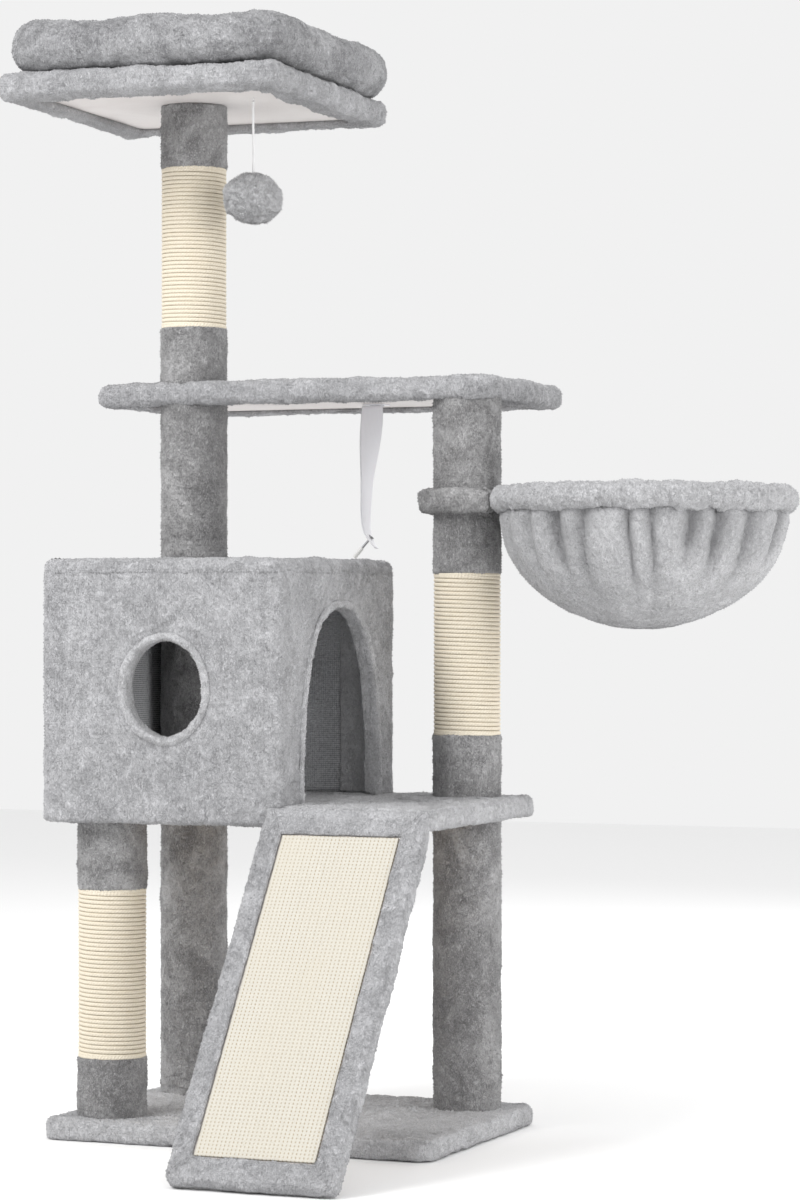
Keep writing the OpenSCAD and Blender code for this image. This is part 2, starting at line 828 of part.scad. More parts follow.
module hammock_bowl() {
    outer = [for (p = BOWL) [p[0] * ring_r, -p[1] * bowl_h]];
    inner = [
        for (i = [len(BOWL) - 1:-1:0])
            [max(0, BOWL[i][0] * ring_r - bowl_t), bowl_t - BOWL[i][1] * bowl_h]
    ];
    color("LightGray") difference() {
        translate(ring_pos) rotate_extrude() polygon(concat(outer, inner));
        translate(ring_pos) rotate_extrude() translate([ring_r, 0]) circle(r = rim_d / 2 + 0.1, $fn = 48);
    }
}

// ---------- ramp ----------

// the ramp's own frame: its top edge on the hinge, +Y down the slope, +Z out of its top face
module on_ramp() {
    translate(pivot) rotate([ramp_slope, 0, 0]) mirror([0, 1, 0]) children();
}

module ramp_box(w, y0, y1, z0, z1) {
    translate([-w / 2, y0, z0]) cube([w, y1 - y0, z1 - z0]);
}

// keeps what lies above the floor and in front of the deck
module trimmed() {
    difference() {
        on_ramp() children();
        translate([0, pivot[1] - 0.5, 0]) cube([2 * base_w, base_d, 2 * deck_top]);
        translate([0, -2 * base_w, deck_top - 1]) cube([2 * base_w, 2 * base_w, deck_top]);
        translate([0, -2 * base_w, -deck_top]) cube([2 * base_w, 2 * base_w, deck_top]);
    }
}

module ramp_board_shape() {
    ramp_box(ramp_board_w, -turn_w, ramp_l - pile, ramp_board_low, ramp_board_high);
}

module ramp_board() {
    color("AntiqueWhite") difference() {
        trimmed() ramp_board_shape();
        ramp_knuckle_room();
    }
}

module ramp_cover() {
    color("Silver") difference() {
        trimmed() ramp_box(ramp_w, -turn_w, ramp_l, ramp_low, ramp_high);
        on_ramp() ramp_box(ramp_board_w, -2 * turn_w, ramp_l - pile, ramp_board_low, ramp_board_high);
        on_ramp() ramp_box(mat_w + 2 * gap, mat_end - gap, ramp_l - mat_end + gap, -1, ramp_high + 1);
        on_ramp()
            ramp_box(ramp_w - 2 * turn_w, 2 * turn_w, ramp_l - turn_w, ramp_low - 1, ramp_board_low + eps);
        ramp_knuckle_room();
        ramp_leaf_room();
    }
}

module ramp_mat() {
    color("Cornsilk") on_ramp() ramp_box(mat_w, mat_end, ramp_l - mat_end, ramp_board_high, ramp_high - 2);
}

module on_hinges() {
    for (x = [-ramp_w / 4, ramp_w / 4])
        translate([pivot[0] + x, pivot[1], pivot[2]]) children();
}

module across(r, l) {
    rotate([0, 90, 0]) cylinder(r = r, h = l, center = true, $fn = 32);
}

// the two leaves' directions, from the hinge's axis
module deck_side() {
    translate([0, 0, -leaf_t + 0.2]) children();
}

module ramp_side() {
    rotate([ramp_slope, 0, 0]) mirror([0, 1, 0]) translate([0, 0, -leaf_t / 2]) children();
}

module leaf(w, l, t) {
    translate([-w / 2, 0, 0]) cube([w, l, t]);
}

// square room round a knuckle
module knuckle_room() {
    room = 2 * (knuckle_r + gap + 0.1);
    cube([leaf_w + 1.2, room, room], center = true);
}

// room for the hinges in the deck's plush
module deck_hinge_room() {
    on_hinges() {
        knuckle_room();
        deck_side() translate([0, 0, -leaf_t]) leaf(leaf_w + 1, leaf_l + 0.5, 2 * leaf_t + gap);
    }
}

// room for the hinges' knuckles in the ramp
module ramp_knuckle_room() {
    on_hinges() rotate([ramp_slope, 0, 0]) knuckle_room();
}

module ramp_leaf_room() {
    on_hinges() ramp_side() translate([0, 0, -leaf_t]) leaf(leaf_w + 1, leaf_l + 0.5, 2 * leaf_t + gap);
}

// each deck leaf has the two outer knuckles, pressed on the pin
module deck_leaves() {
    color("Silver") on_hinges() difference() {
        union() {
            across(knuckle_r, leaf_w);
            deck_side() leaf(leaf_w, leaf_l, leaf_t);
        }
        across(knuckle_r + gap, middle_w + 2 * gap);
        across(pin_r, leaf_w + 1);
        translate([-middle_w / 2 - gap, -1, -leaf_t]) cube([middle_w + 2 * gap, knuckle_r + 2, 2 * leaf_t]);
    }
}

// each ramp leaf has the middle knuckle, which turns on the pin
module ramp_leaves() {
    color("Silver") on_hinges() difference() {
        union() {
            across(knuckle_r, middle_w);
            ramp_side() translate([0, leaf_start, 0]) leaf(leaf_w, leaf_l - leaf_start, leaf_t);
            ramp_side() leaf(middle_w, leaf_l / 2, leaf_t);
        }
        across(pin_r + 0.05, leaf_w);
    }
}

module hinge_pins() {
    color("Gainsboro") on_hinges() across(pin_r, leaf_w);
}

// ---------- pompom ----------

// the cord's end goes up through the perch board to a knot in the plush
module cord_anchor() {
    color("White") at(cord_pos) {
        rod(cord_d / 2, perch_board_z, knot_z);
        translate([0, 0, knot_z]) sphere(r = knot_r);
    }
}

// the bend at the hole's mouth that the cord swings from
module cord_swivel() {
    color("White") translate([cord_pos[0], cord_pos[1], swivel_z]) sphere(r = swivel_r);
}

module pompom_cord() {
    color("White") tube_along(CORD_ROUTE, cord_d / 2, 8);
}

module pompom_ball() {
    color("LightGray") translate([cord_pos[0], cord_pos[1], pompom_z]) rotate_extrude()
        polygon([for (a = [-90:10:90]) [pompom_w / 2 * cos(a), pompom_h / 2 * sin(a)]]);
}

// ---------- strap ----------

module strap() {
    color("White") band_along(STRAP_ROUTE, strap_w, strap_t);
}

// the strap's folded end, flat under the shelf
module strap_tab() {
    color("White") difference() {
        translate([strap_pos[0] - strap_w / 2, strap_pos[1] + 0.4, shelf_board_z - strap_t])
            cube([strap_w, tab_l, strap_t]);
        at(tab_screw) rod(tab_screw_r + 0.2, shelf_z, shelf_board_z + 1);
    }
}

module strap_screw() {
    color("Silver") at(tab_screw) {
        rod(tab_head_r, tab_z - washer_t - 2.4, tab_z - washer_t);
        rod(tab_screw_r, tab_z - washer_t - eps, shelf_board_z + tab_bite - 1);
    }
}

module on_wall_screw() {
    translate(wall_screw_pos) rotate([0, wall_screw_tilt, wall_screw_turn]) children();
}

module wall_screw() {
    color("Gray") on_wall_screw() {
        rod(3.6, -3, -0.9);
        rod(1.6, -1, wall_screw_l);
    }
}

// a ribbed plug pushed on the screw's end
module wall_plug() {
    color("WhiteSmoke") on_wall_screw() difference() {
        union() {
            rod(2.6, plug_start, wall_screw_l + 0.8);
            for (i = [0:3])
                rod(3, plug_start + 1 + 3.5 * i, plug_start + 3 + 3.5 * i);
        }
        rod(1.6, plug_start - 1, wall_screw_l);
    }
}

// ---------- the part ----------

base_board();
base_cover();
front_post_sleeve();
front_post_rope();
back_post_sleeve();
right_post_sleeve();
house_post_sleeve();
roof_post_sleeve();
tower_post_sleeve();
tower_post_rope();
lower_post_sleeve();
lower_post_rope();
upper_post_sleeve();
post_tubes();
post_plugs();
base_bolts();
top_bolts();
washers();
joining_studs();
deck_board();
deck_cover();
front_wall();
right_wall();
back_wall();
left_wall();
house_screws();
house_cover();
house_lining();
back_trim();
window_rim();
door_rim();
roof_board();
roof_cover();
shelf_board();
shelf_cover();
perch_board();
perch_cover();
bed_bolster();
bed_pad();
bracket_board();
bracket_cover();
hammock_ring();
ring_screws();
hammock_rim();
hammock_bowl();
ramp_board();
ramp_cover();
ramp_mat();
deck_leaves();
ramp_leaves();
hinge_pins();
cord_anchor();
cord_swivel();
pompom_cord();
pompom_ball();
strap();
strap_tab();
strap_screw();
wall_screw();
wall_plug();
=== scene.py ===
import math

import bmesh
import bpy
import numpy as np
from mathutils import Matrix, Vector


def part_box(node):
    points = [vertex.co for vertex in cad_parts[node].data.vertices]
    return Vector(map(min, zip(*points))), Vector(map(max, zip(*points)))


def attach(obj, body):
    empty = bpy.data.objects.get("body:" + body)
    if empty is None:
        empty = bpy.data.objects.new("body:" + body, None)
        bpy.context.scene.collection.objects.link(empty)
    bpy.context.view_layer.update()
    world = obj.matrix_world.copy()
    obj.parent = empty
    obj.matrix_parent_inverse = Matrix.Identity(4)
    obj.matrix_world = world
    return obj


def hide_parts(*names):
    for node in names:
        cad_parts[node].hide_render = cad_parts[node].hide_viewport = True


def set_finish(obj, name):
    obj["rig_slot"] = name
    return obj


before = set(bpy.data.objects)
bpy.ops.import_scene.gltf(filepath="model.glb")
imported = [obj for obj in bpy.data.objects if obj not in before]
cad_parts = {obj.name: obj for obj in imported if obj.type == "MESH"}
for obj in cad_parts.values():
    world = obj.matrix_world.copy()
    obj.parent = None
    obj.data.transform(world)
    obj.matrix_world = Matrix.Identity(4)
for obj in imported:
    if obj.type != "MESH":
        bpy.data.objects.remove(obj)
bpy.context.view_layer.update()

MM = 0.001
LATTICE = np.random.default_rng(7).uniform(-1.0, 1.0, (64, 64, 64))
SCENE = bpy.context.scene


def placed(name, data):
    """A new object in the scene, holding the given data."""
    thing = bpy.data.objects.new(name, data)
    SCENE.collection.objects.link(thing)
    return thing


# ---------- camera, floor and light ----------

def make_camera():
    data = bpy.data.cameras.new("camera")
    data.sensor_width = 36.0
    data.lens = 108.6
    data.shift_x = 0.006
    data.shift_y = 0.0049
    camera = placed("camera", data)
    camera.location = (1.798, -3.995, 0.634)
    camera.rotation_euler = (math.radians(90.0), 0.0, math.radians(22.65))
    SCENE.camera = camera


def area_light(name, place, aim, size, watts):
    data = bpy.data.lights.new(name, "AREA")
    data.shape = "SQUARE"
    data.size = size
    data.energy = watts
    lamp = placed(name, data)
    lamp.location = place
    lamp.rotation_euler = (Vector(aim) - Vector(place)).to_track_quat("-Z", "Y").to_euler()


def make_studio():
    world = bpy.data.worlds.new("studio")
    world.use_nodes = True
    background = world.node_tree.nodes["Background"]
    background.inputs["Color"].default_value = (1.0, 1.0, 1.0, 1.0)
    background.inputs["Strength"].default_value = 0.88
    SCENE.world = world
    SCENE.view_settings.view_transform = "Standard"
    area_light("key", (-1.5, -2.4, 3.1), (0.0, 0.0, 0.7), 1.5, 88.0)
    area_light("fill", (2.9, -0.9, 1.2), (0.1, 0.0, 0.6), 1.8, 34.0)
    area_light("back", (0.4, 2.6, 2.2), (0.0, 0.0, 0.8), 2.0, 30.0)
    corners = [(-6.0, -6.0, -0.0006), (6.0, -6.0, -0.0006), (6.0, 6.0, -0.0006), (-6.0, 6.0, -0.0006)]
    mesh = bpy.data.meshes.new("floor")
    mesh.from_pydata(corners, [], [(0, 1, 2, 3)])
    floor = placed("floor", mesh)
    paint = bpy.data.materials.new("floor")
    paint.use_nodes = True
    shader = paint.node_tree.nodes["Principled BSDF"]
    shader.inputs["Base Color"].default_value = (0.9, 0.9, 0.9, 1.0)
    shader.inputs["Roughness"].default_value = 0.9
    mesh.materials.append(paint)


# ---------- materials ----------

class Nodes:
    """A short way to wire a Principled material. Every texture is laid in the piece's own metres."""

    def __init__(self, name, uv=False):
        self.material = bpy.data.materials.new(name)
        self.material.use_nodes = True
        self.tree = self.material.node_tree
        self.shader = self.tree.nodes["Principled BSDF"]
        self.place = self.add("ShaderNodeTexCoord").outputs["UV" if uv else "Object"]

    def add(self, kind, **values):
        node = self.tree.nodes.new(kind)
        for key, value in values.items():
            setattr(node, key, value)
        return node

    def link(self, source, target):
        self.tree.links.new(source, target)

    def texture(self, kind, scale, twist, detail, **values):
        """A texture of one scale, or of one scale for each axis."""
        place = self.place
        if isinstance(scale, tuple):
            stretch = self.add("ShaderNodeMapping")
            stretch.inputs["Scale"].default_value = scale
            place = stretch.outputs["Vector"]
            self.link(self.place, stretch.inputs["Vector"])
            scale = 1.0
        node = self.add(kind, **values)
        node.inputs["Scale"].default_value = scale
        node.inputs["Detail"].default_value = detail
        node.inputs["Distortion"].default_value = twist
        self.link(place, node.inputs["Vector"])
        return node

    def noise(self, scale, detail=3.0, twist=0.0, rough=0.5):
        node = self.texture("ShaderNodeTexNoise", scale, twist, detail)
        node.inputs["Roughness"].default_value = rough
        return node.outputs["Fac"]

    def wave(self, scale, direction, twist=0.0, detail=1.0):
        node = self.texture("ShaderNodeTexWave", scale, twist, detail, bands_direction=direction)
        return node.outputs["Fac"]

    def math(self, kind, a, b):
        node = self.add("ShaderNodeMath", operation=kind)
        for socket, value in zip(node.inputs, (a, b)):
            if isinstance(value, float):
                socket.default_value = value
            else:
                self.link(value, socket)
        return node.outputs[0]

    def fit(self, value, low, high, new_low=0.0, new_high=1.0):
        node = self.add("ShaderNodeMapRange")
        node.inputs["From Min"].default_value = low
        node.inputs["From Max"].default_value = high
        node.inputs["To Min"].default_value = new_low
        node.inputs["To Max"].default_value = new_high
        self.link(value, node.inputs["Value"])
        return node.outputs["Result"]

    def blend(self, share, first, second):
        node = self.add("ShaderNodeMix", data_type="RGBA")
        self.link(share, node.inputs[0])
        for socket, value in ((node.inputs[6], first), (node.inputs[7], second)):
            if isinstance(value, tuple):
                socket.default_value = (*value, 1.0)
            else:
                self.link(value, socket)
        return node.outputs[2]

    def tint(self, color, value, low, high, amount, tone):
        """Brings in a tone by up to an amount, as a value goes from low to high."""
        return self.blend(self.fit(value, low, high, 0.0, amount), color, tone)

    def bump(self, height, strength, distance, under=None):
        node = self.add("ShaderNodeBump")
        node.inputs["Strength"].default_value = strength
        node.inputs["Distance"].default_value = distance
        self.link(height, node.inputs["Height"])
        if under is not None:
            self.link(under, node.inputs["Normal"])
        return node.outputs["Normal"]

    def finish(self, color, rough, normal, **fixed):
        for name, value in (("Base Color", color), ("Roughness", rough), ("Normal", normal)):
            self.link(value, self.shader.inputs[name])
        for name, value in fixed.items():
            self.shader.inputs[name.replace("_", " ")].default_value = value
        return self.material


def plush_material(name, light, dark, patch=0.5, with_painted_shade=False):
    """Brushed short pile: big patches where the pile lies over, mottling, clumps and fine hairs."""
    n = Nodes(name)
    broad = n.fit(n.noise(6.0, 2.0, 0.8, 0.5), 0.36, 0.54, 0.5, 0.0)
    patches = n.fit(n.noise(15.0, 3.0, 1.8, 0.55), 0.38, 0.62)
    mottle = n.fit(n.noise(58.0, 4.0, 1.6, 0.6), 0.36, 0.66)
    clumps = n.noise(150.0, 3.0, 2.4, 0.6)
    hairs = n.noise((300.0, 300.0, 170.0), 3.0, 2.6, 0.62)
    shade = n.math("ADD", n.math("MULTIPLY", patches, patch), n.math("MULTIPLY", mottle, 0.8 - patch))
    color = n.blend(broad, n.blend(shade, dark, light), dark)
    deep = tuple(c * 0.58 for c in dark)
    color = n.blend(n.fit(clumps, 0.26, 0.48, 0.5, 0.0), color, deep)
    pale = tuple(min(c * 1.3, 0.92) for c in light)
    color = n.tint(color, hairs, 0.5, 0.68, 0.5, pale)
    color = n.tint(color, hairs, 0.48, 0.32, 0.55, deep)
    normal = n.bump(mottle, 0.4, 0.004)
    normal = n.bump(clumps, 0.7, 0.0025, normal)
    normal = n.bump(hairs, 1.0, 0.0019, normal)
    # Painted shade: a per-point value on the mesh darkens the pile deep in the folds and towards the rim,
    # where shade falls.
    if with_painted_shade:
        painted_shade = n.add("ShaderNodeAttribute", attribute_name="painted_shade").outputs["Fac"]
        color = n.blend(painted_shade, color, deep)
    rough = n.fit(hairs, 0.2, 0.8, 1.0, 0.82)
    return n.finish(color, rough, normal, Sheen_Weight=0.3, Sheen_Roughness=0.45,
                    Specular_IOR_Level=0.15)


def lining_material():
    n = Nodes("woven_lining")
    warp = n.wave(125.0, "X", 0.6)
    weft = n.wave(125.0, "Z", 0.6)
    side = n.wave(125.0, "Y", 0.6)
    weave = n.math("MULTIPLY", n.math("MAXIMUM", warp, side), weft)
    slub = n.noise(420.0, 2.0, 0.4, 0.5)
    # the weave's pale threads and slubs are lighter than the lining's own dark grey: painted light inside
    # the shaded house
    color = n.blend(weave, (0.26, 0.263, 0.278), (0.72, 0.725, 0.745))
    color = n.tint(color, slub, 0.3, 0.75, 0.55, (0.88, 0.885, 0.9))
    normal = n.bump(weave, 0.7, 0.0006)
    return n.finish(color, n.fit(slub, 0.2, 0.8, 0.75, 0.95), n.bump(slub, 0.3, 0.0008, normal),
                    Sheen_Weight=0.15, Specular_IOR_Level=0.25)


def rope_material():
    """Twisted sisal, laid along the rope's own length and girth."""
    n = Nodes("sisal_rope", uv=True)
    strands = n.wave((1.88, 160.0, 1.0), "DIAGONAL", 0.4)
    fibres = n.noise((12.0, 500.0, 1.0), 4.0, 0.6, 0.65)
    spots = n.noise((2.0, 24.0, 1.0), 2.0, 0.0, 0.5)
    color = n.blend(n.fit(fibres, 0.25, 0.75), (0.66, 0.585, 0.46), (0.86, 0.805, 0.69))
    color = n.blend(n.fit(strands, 0.0, 0.35, 0.3, 0.0), color, (0.56, 0.47, 0.33))
    color = n.tint(color, spots, 0.5, 0.8, 0.4, (0.72, 0.62, 0.46))
    normal = n.bump(strands, 0.55, 0.0009)
    normal = n.bump(fibres, 0.5, 0.0005, normal)
    return n.finish(color, n.fit(fibres, 0.2, 0.8, 0.95, 0.75), normal, Specular_IOR_Level=0.2)


def mat_material():
    n = Nodes("sisal_mat", uv=True)
    threads = n.wave((330.0, 330.0, 1.0), "X", 0.5)
    fibres = n.noise((400.0, 1600.0, 1.0), 4.0, 0.8, 0.65)
    columns = n.wave((65.0, 1.0, 1.0), "X", 0.3)
    rows = n.wave((1.0, 68.3, 1.0), "Y", 0.6)
    dots = n.math("MULTIPLY", n.fit(columns, 0.45, 0.0), rows)
    areas = n.noise((11.0, 6.0, 1.0), 2.0, 0.3, 0.5)
    color = n.blend(n.fit(fibres, 0.25, 0.75), (0.5, 0.47, 0.405), (0.69, 0.668, 0.607))
    color = n.tint(color, dots, 0.2, 0.75, 0.85, (0.36, 0.29, 0.19))
    color = n.tint(color, areas, 0.42, 0.7, 0.3, (0.6, 0.553, 0.453))
    normal = n.bump(threads, 0.25, 0.0005)
    normal = n.bump(fibres, 0.5, 0.0005, normal)
    return n.finish(color, n.fit(fibres, 0.2, 0.8, 0.95, 0.78), normal, Specular_IOR_Level=0.2)


def painted_board_material():
    n = Nodes("painted_board")
    peel = n.noise(420.0, 3.0)
    wash = n.noise(9.0, 3.0, 0.5)
    specks = n.noise(240.0, 2.0)
    color = n.blend(n.fit(wash, 0.35, 0.7), (0.64, 0.6, 0.585), (0.71, 0.68, 0.665))
    color = n.tint(color, specks, 0.66, 0.76, 0.35, (0.52, 0.47, 0.44))
    return n.finish(color, n.fit(peel, 0.3, 0.7, 0.42, 0.6), n.bump(peel, 0.15, 0.0004))


def raw_board_material():
    n = Nodes("particle_board")
    chips = n.noise((180.0, 180.0, 420.0), 3.0, 1.2, 0.6)
    big = n.noise(60.0, 3.0, 0.8)
    color = n.blend(n.fit(chips, 0.3, 0.7), (0.33, 0.22, 0.12), (0.62, 0.47, 0.3))
    color = n.tint(color, big, 0.5, 0.75, 0.5, (0.72, 0.58, 0.4))
    return n.finish(color, n.fit(chips, 0.2, 0.8, 0.7, 0.92), n.bump(chips, 0.35, 0.0006))


def paper_material():
    n = Nodes("paper_tube")
    wraps = n.noise((60.0, 60.0, 500.0), 3.0, 0.4, 0.5)
    color = n.blend(n.fit(wraps, 0.3, 0.7), (0.4, 0.28, 0.17), (0.55, 0.41, 0.26))
    return n.finish(color, n.fit(wraps, 0.2, 0.8, 0.8, 0.95), n.bump(wraps, 0.2, 0.0004))


def wood_material():
    n = Nodes("plug_wood")
    rings = n.wave(110.0, "X", 5.0, 3.0)
    color = n.blend(rings, (0.52, 0.36, 0.2), (0.72, 0.55, 0.35))
    return n.finish(color, n.fit(rings, 0.0, 1.0, 0.62, 0.8), n.bump(rings, 0.2, 0.0003))


def metal_material(name, tone, roughness):
    n = Nodes(name)
    scuffs = n.noise((240.0, 240.0, 900.0), 4.0, 0.5, 0.6)
    dull = n.noise(140.0, 3.0)
    color = n.blend(n.fit(dull, 0.35, 0.7), tone, tuple(c * 0.72 for c in tone))
    return n.finish(color, n.fit(scuffs, 0.3, 0.7, roughness - 0.1, roughness + 0.12),
                    n.bump(scuffs, 0.12, 0.0002), Metallic=1.0)


def webbing_material():
    """Ribbed webbing: u runs across the strap and v along it."""
    n = Nodes("webbing", uv=True)
    ribs = n.wave((190.0, 1.0, 1.0), "X", 0.2)
    picks = n.wave((1.0, 260.0, 1.0), "Y", 0.2)
    weave = n.math("MULTIPLY", ribs, picks)
    soil = n.noise((60.0, 40.0, 1.0), 3.0, 0.3, 0.5)
    color = n.blend(weave, (0.8, 0.8, 0.84), (0.94, 0.94, 0.96))
    color = n.tint(color, soil, 0.45, 0.8, 0.35, (0.84, 0.83, 0.85))
    return n.finish(color, n.fit(soil, 0.2, 0.8, 0.6, 0.8), n.bump(weave, 0.5, 0.0005),
                    Sheen_Weight=0.2)


def cord_material():
    n = Nodes("braided_cord")
    braid = n.wave((260.0, 260.0, 260.0), "DIAGONAL", 0.5)
    fluff_noise = n.noise(1500.0, 3.0)
    color = n.blend(braid, (0.74, 0.74, 0.75), (0.93, 0.93, 0.93))
    normal = n.bump(fluff_noise, 0.3, 0.0003, n.bump(braid, 0.5, 0.0004))
    return n.finish(color, n.fit(fluff_noise, 0.2, 0.8, 0.6, 0.8), normal, Sheen_Weight=0.2)


def nylon_material():
    n = Nodes("nylon_plug")
    flow = n.noise((120.0, 120.0, 320.0), 3.0, 0.6, 0.5)
    color = n.blend(flow, (0.62, 0.62, 0.6), (0.8, 0.8, 0.78))
    return n.finish(color, n.fit(flow, 0.2, 0.8, 0.35, 0.5), n.bump(flow, 0.15, 0.0003))


def make_materials():
    return {
        "plush": plush_material("grey_plush", (0.62, 0.62, 0.638), (0.34, 0.34, 0.352)),
        "post_plush": plush_material("post_plush", (0.54, 0.535, 0.54), (0.2, 0.197, 0.199), 0.6),
        "rim_plush": plush_material("rim_plush", (0.68, 0.68, 0.698), (0.45, 0.45, 0.462)),
        "bed_plush": plush_material("bed_plush", (0.57, 0.57, 0.586), (0.25, 0.25, 0.26), 0.58),
        # A paler copy of the rim plush: painted light, for the perch's shade on the pompom and the dim
        # inside of the house on the trim.
        "pale_plush_painted_light": plush_material("pale_plush_painted_light", (0.9, 0.9, 0.915), (0.62, 0.62, 0.635)),
        # A paler copy of the bed plush: painted light, for the bowl's lit lower part; its folds and the
        # part near the rim get painted shade.
        "bowl_plush_painted_light_and_shade": plush_material("bowl_plush_painted_light_and_shade", (0.7, 0.7, 0.718), (0.46, 0.46, 0.474), 0.5, True),
        "lining": lining_material(),
        "sisal_rope": rope_material(),
        "sisal_mat": mat_material(),
        "painted_board": painted_board_material(),
        "board": raw_board_material(),
        "paper_tube": paper_material(),
        "plug_wood": wood_material(),
        "zinc": metal_material("zinc_plate", (0.62, 0.63, 0.66), 0.36),
        "dark_steel": metal_material("dark_steel", (0.3, 0.3, 0.31), 0.4),
        "cord": cord_material(),
        "webbing": webbing_material(),
        "nylon": nylon_material(),
    }


# materials with no slot of their own in the record
SHARED_SLOTS = {"bowl_plush_painted_light_and_shade": "bed_plush", "pale_plush_painted_light": "rim_plush"}


# ---------- meshes ----------

def noise(points, size, offset=0.0):
    """Smooth noise from -1 to 1 with lumps of the given size, for an array of points in metres."""
    p = points / size + (1000.0 + offset)
    cell = np.floor(p).astype(int)
    f = p - cell
    f = f * f * (3.0 - 2.0 * f)
    total = np.zeros(len(p))
    for corner in range(8):
        bits = (corner & 1, corner >> 1 & 1, corner >> 2)
        weight = np.ones(len(p))
        for axis, bit in enumerate(bits):
            weight *= f[:, axis] if bit else 1.0 - f[:, axis]
        x, y, z = ((cell[:, axis] + bit) & 63 for axis, bit in enumerate(bits))
        total += weight * LATTICE[x, y, z]
    return total


def ease(value):
    value = np.clip(value, 0.0, 1.0)
    return value * value * (3.0 - 2.0 * value)


def full_turn(count):
    """Evenly spaced angles all round, without the one that meets the first."""
    return np.linspace(0.0, 2.0 * math.pi, count + 1)[:-1]


def at_height(flat, z):
    return np.column_stack([flat, np.full(len(flat), z)])


def quads(rings, around, loop=False):
    """Faces between neighbouring rings of points. With loop, the last ring also meets the first."""
    start = np.arange(rings if loop else rings - 1)[:, None] * around
    after = (start + around) % (rings * around)
    here = np.arange(around)[None, :]
    right = (here + 1) % around
    faces = np.stack([start + here, start + right, after + right, after + here], axis=-1)
    return faces.reshape(-1, 4).tolist()


def fan(centre, first, around, turned):
    pairs = [(first + i, first + (i + 1) % around) for i in range(around)]
    return [(centre, b, a) if turned else (centre, a, b) for a, b in pairs]


def closed_volume(points, faces):
    total = 0.0
    for size in (3, 4):
        ids = np.array([f for f in faces if len(f) == size])
        for k in range(1, size - 1):
            if len(ids):
                a, b, c = points[ids[:, 0]], points[ids[:, k]], points[ids[:, k + 1]]
                total += np.einsum("ij,ij->i", a, np.cross(b, c)).sum()
    return total


def box_of(node):
    """A CAD node's low and high corners, its middle and half its size, in millimetres."""
    low, high = (np.array(corner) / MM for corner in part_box(node))
    return low, high, (low + high) / 2.0, (high - low) / 2.0


def piece_of(name, points, faces, material, body="tree", flip=False):
    """A smooth mesh object from points in metres, riding on its body and with its finish."""
    mesh = bpy.data.meshes.new(name)
    if flip:
        faces = [tuple(reversed(f)) for f in faces]
    mesh.from_pydata(np.asarray(points).tolist(), [], faces)
    mesh.polygons.foreach_set("use_smooth", [True] * len(mesh.polygons))
    mesh.materials.append(MATERIALS[material])
    piece = placed(name, mesh)
    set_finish(piece, SHARED_SLOTS.get(material, material))
    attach(piece, body)
    return piece


def ring_piece(name, rings, material, body="tree", loop=False):
    """A closed piece through rings of equal counts, in millimetres, with a point at each end or a loop."""
    rings = np.asarray(rings)
    count, around = rings.shape[:2]
    points = rings.reshape(-1, 3)
    faces = quads(count, around, loop)
    if not loop:
        ends = np.stack([rings[0].mean(0), rings[-1].mean(0)])
        points = np.concatenate([points, ends])
        faces += fan(count * around, 0, around, True)
        faces += fan(count * around + 1, (count - 1) * around, around, False)
    points = points * MM
    return piece_of(name, points, faces, material, body, closed_volume(points, faces) < 0.0)


def points_of(piece):
    flat = np.empty(len(piece.data.vertices) * 3)
    piece.data.vertices.foreach_get("co", flat)
    return flat.reshape(-1, 3)


def normals_of(piece):
    flat = np.empty(len(piece.data.vertices) * 3)
    piece.data.vertex_normals.foreach_get("vector", flat)
    return flat.reshape(-1, 3)


def move_points(piece, points):
    piece.data.vertices.foreach_set("co", np.asarray(points).ravel())
    piece.data.update()


def keep_above(piece, height):
    points = points_of(piece)
    points[:, 2] = np.maximum(points[:, 2], height * MM)
    move_points(piece, points)


def fluff(piece, weight=1.0, lump=0.9, tuft=1.3, lean=0.9, nap=(0.2, -0.3, -1.0), spike=1.7):
    """Raises the pile in soft lumps and parted tufts, in millimetres, and combs it towards nap."""
    points = points_of(piece)
    soft = noise(points, 0.034) + 0.6 * noise(points, 0.017, 3.3)
    parted = 2.2 * np.abs(noise(points, 0.0125, 7.1)) - 0.7
    fine = 1.6 * np.abs(noise(points, 0.0072, 1.9)) - 0.5
    high = lump * soft + tuft * (0.6 * parted + 0.5 * fine)
    side = np.array(nap) * (lean * noise(points, 0.011, 4.4))[:, None]
    moved = normals_of(piece) * high[:, None] + side
    move_points(piece, points + np.reshape(weight, (-1, 1)) * moved * MM)
    if spike:
        raise_tufts(piece, np.broadcast_to(weight, len(points)), spike, nap)


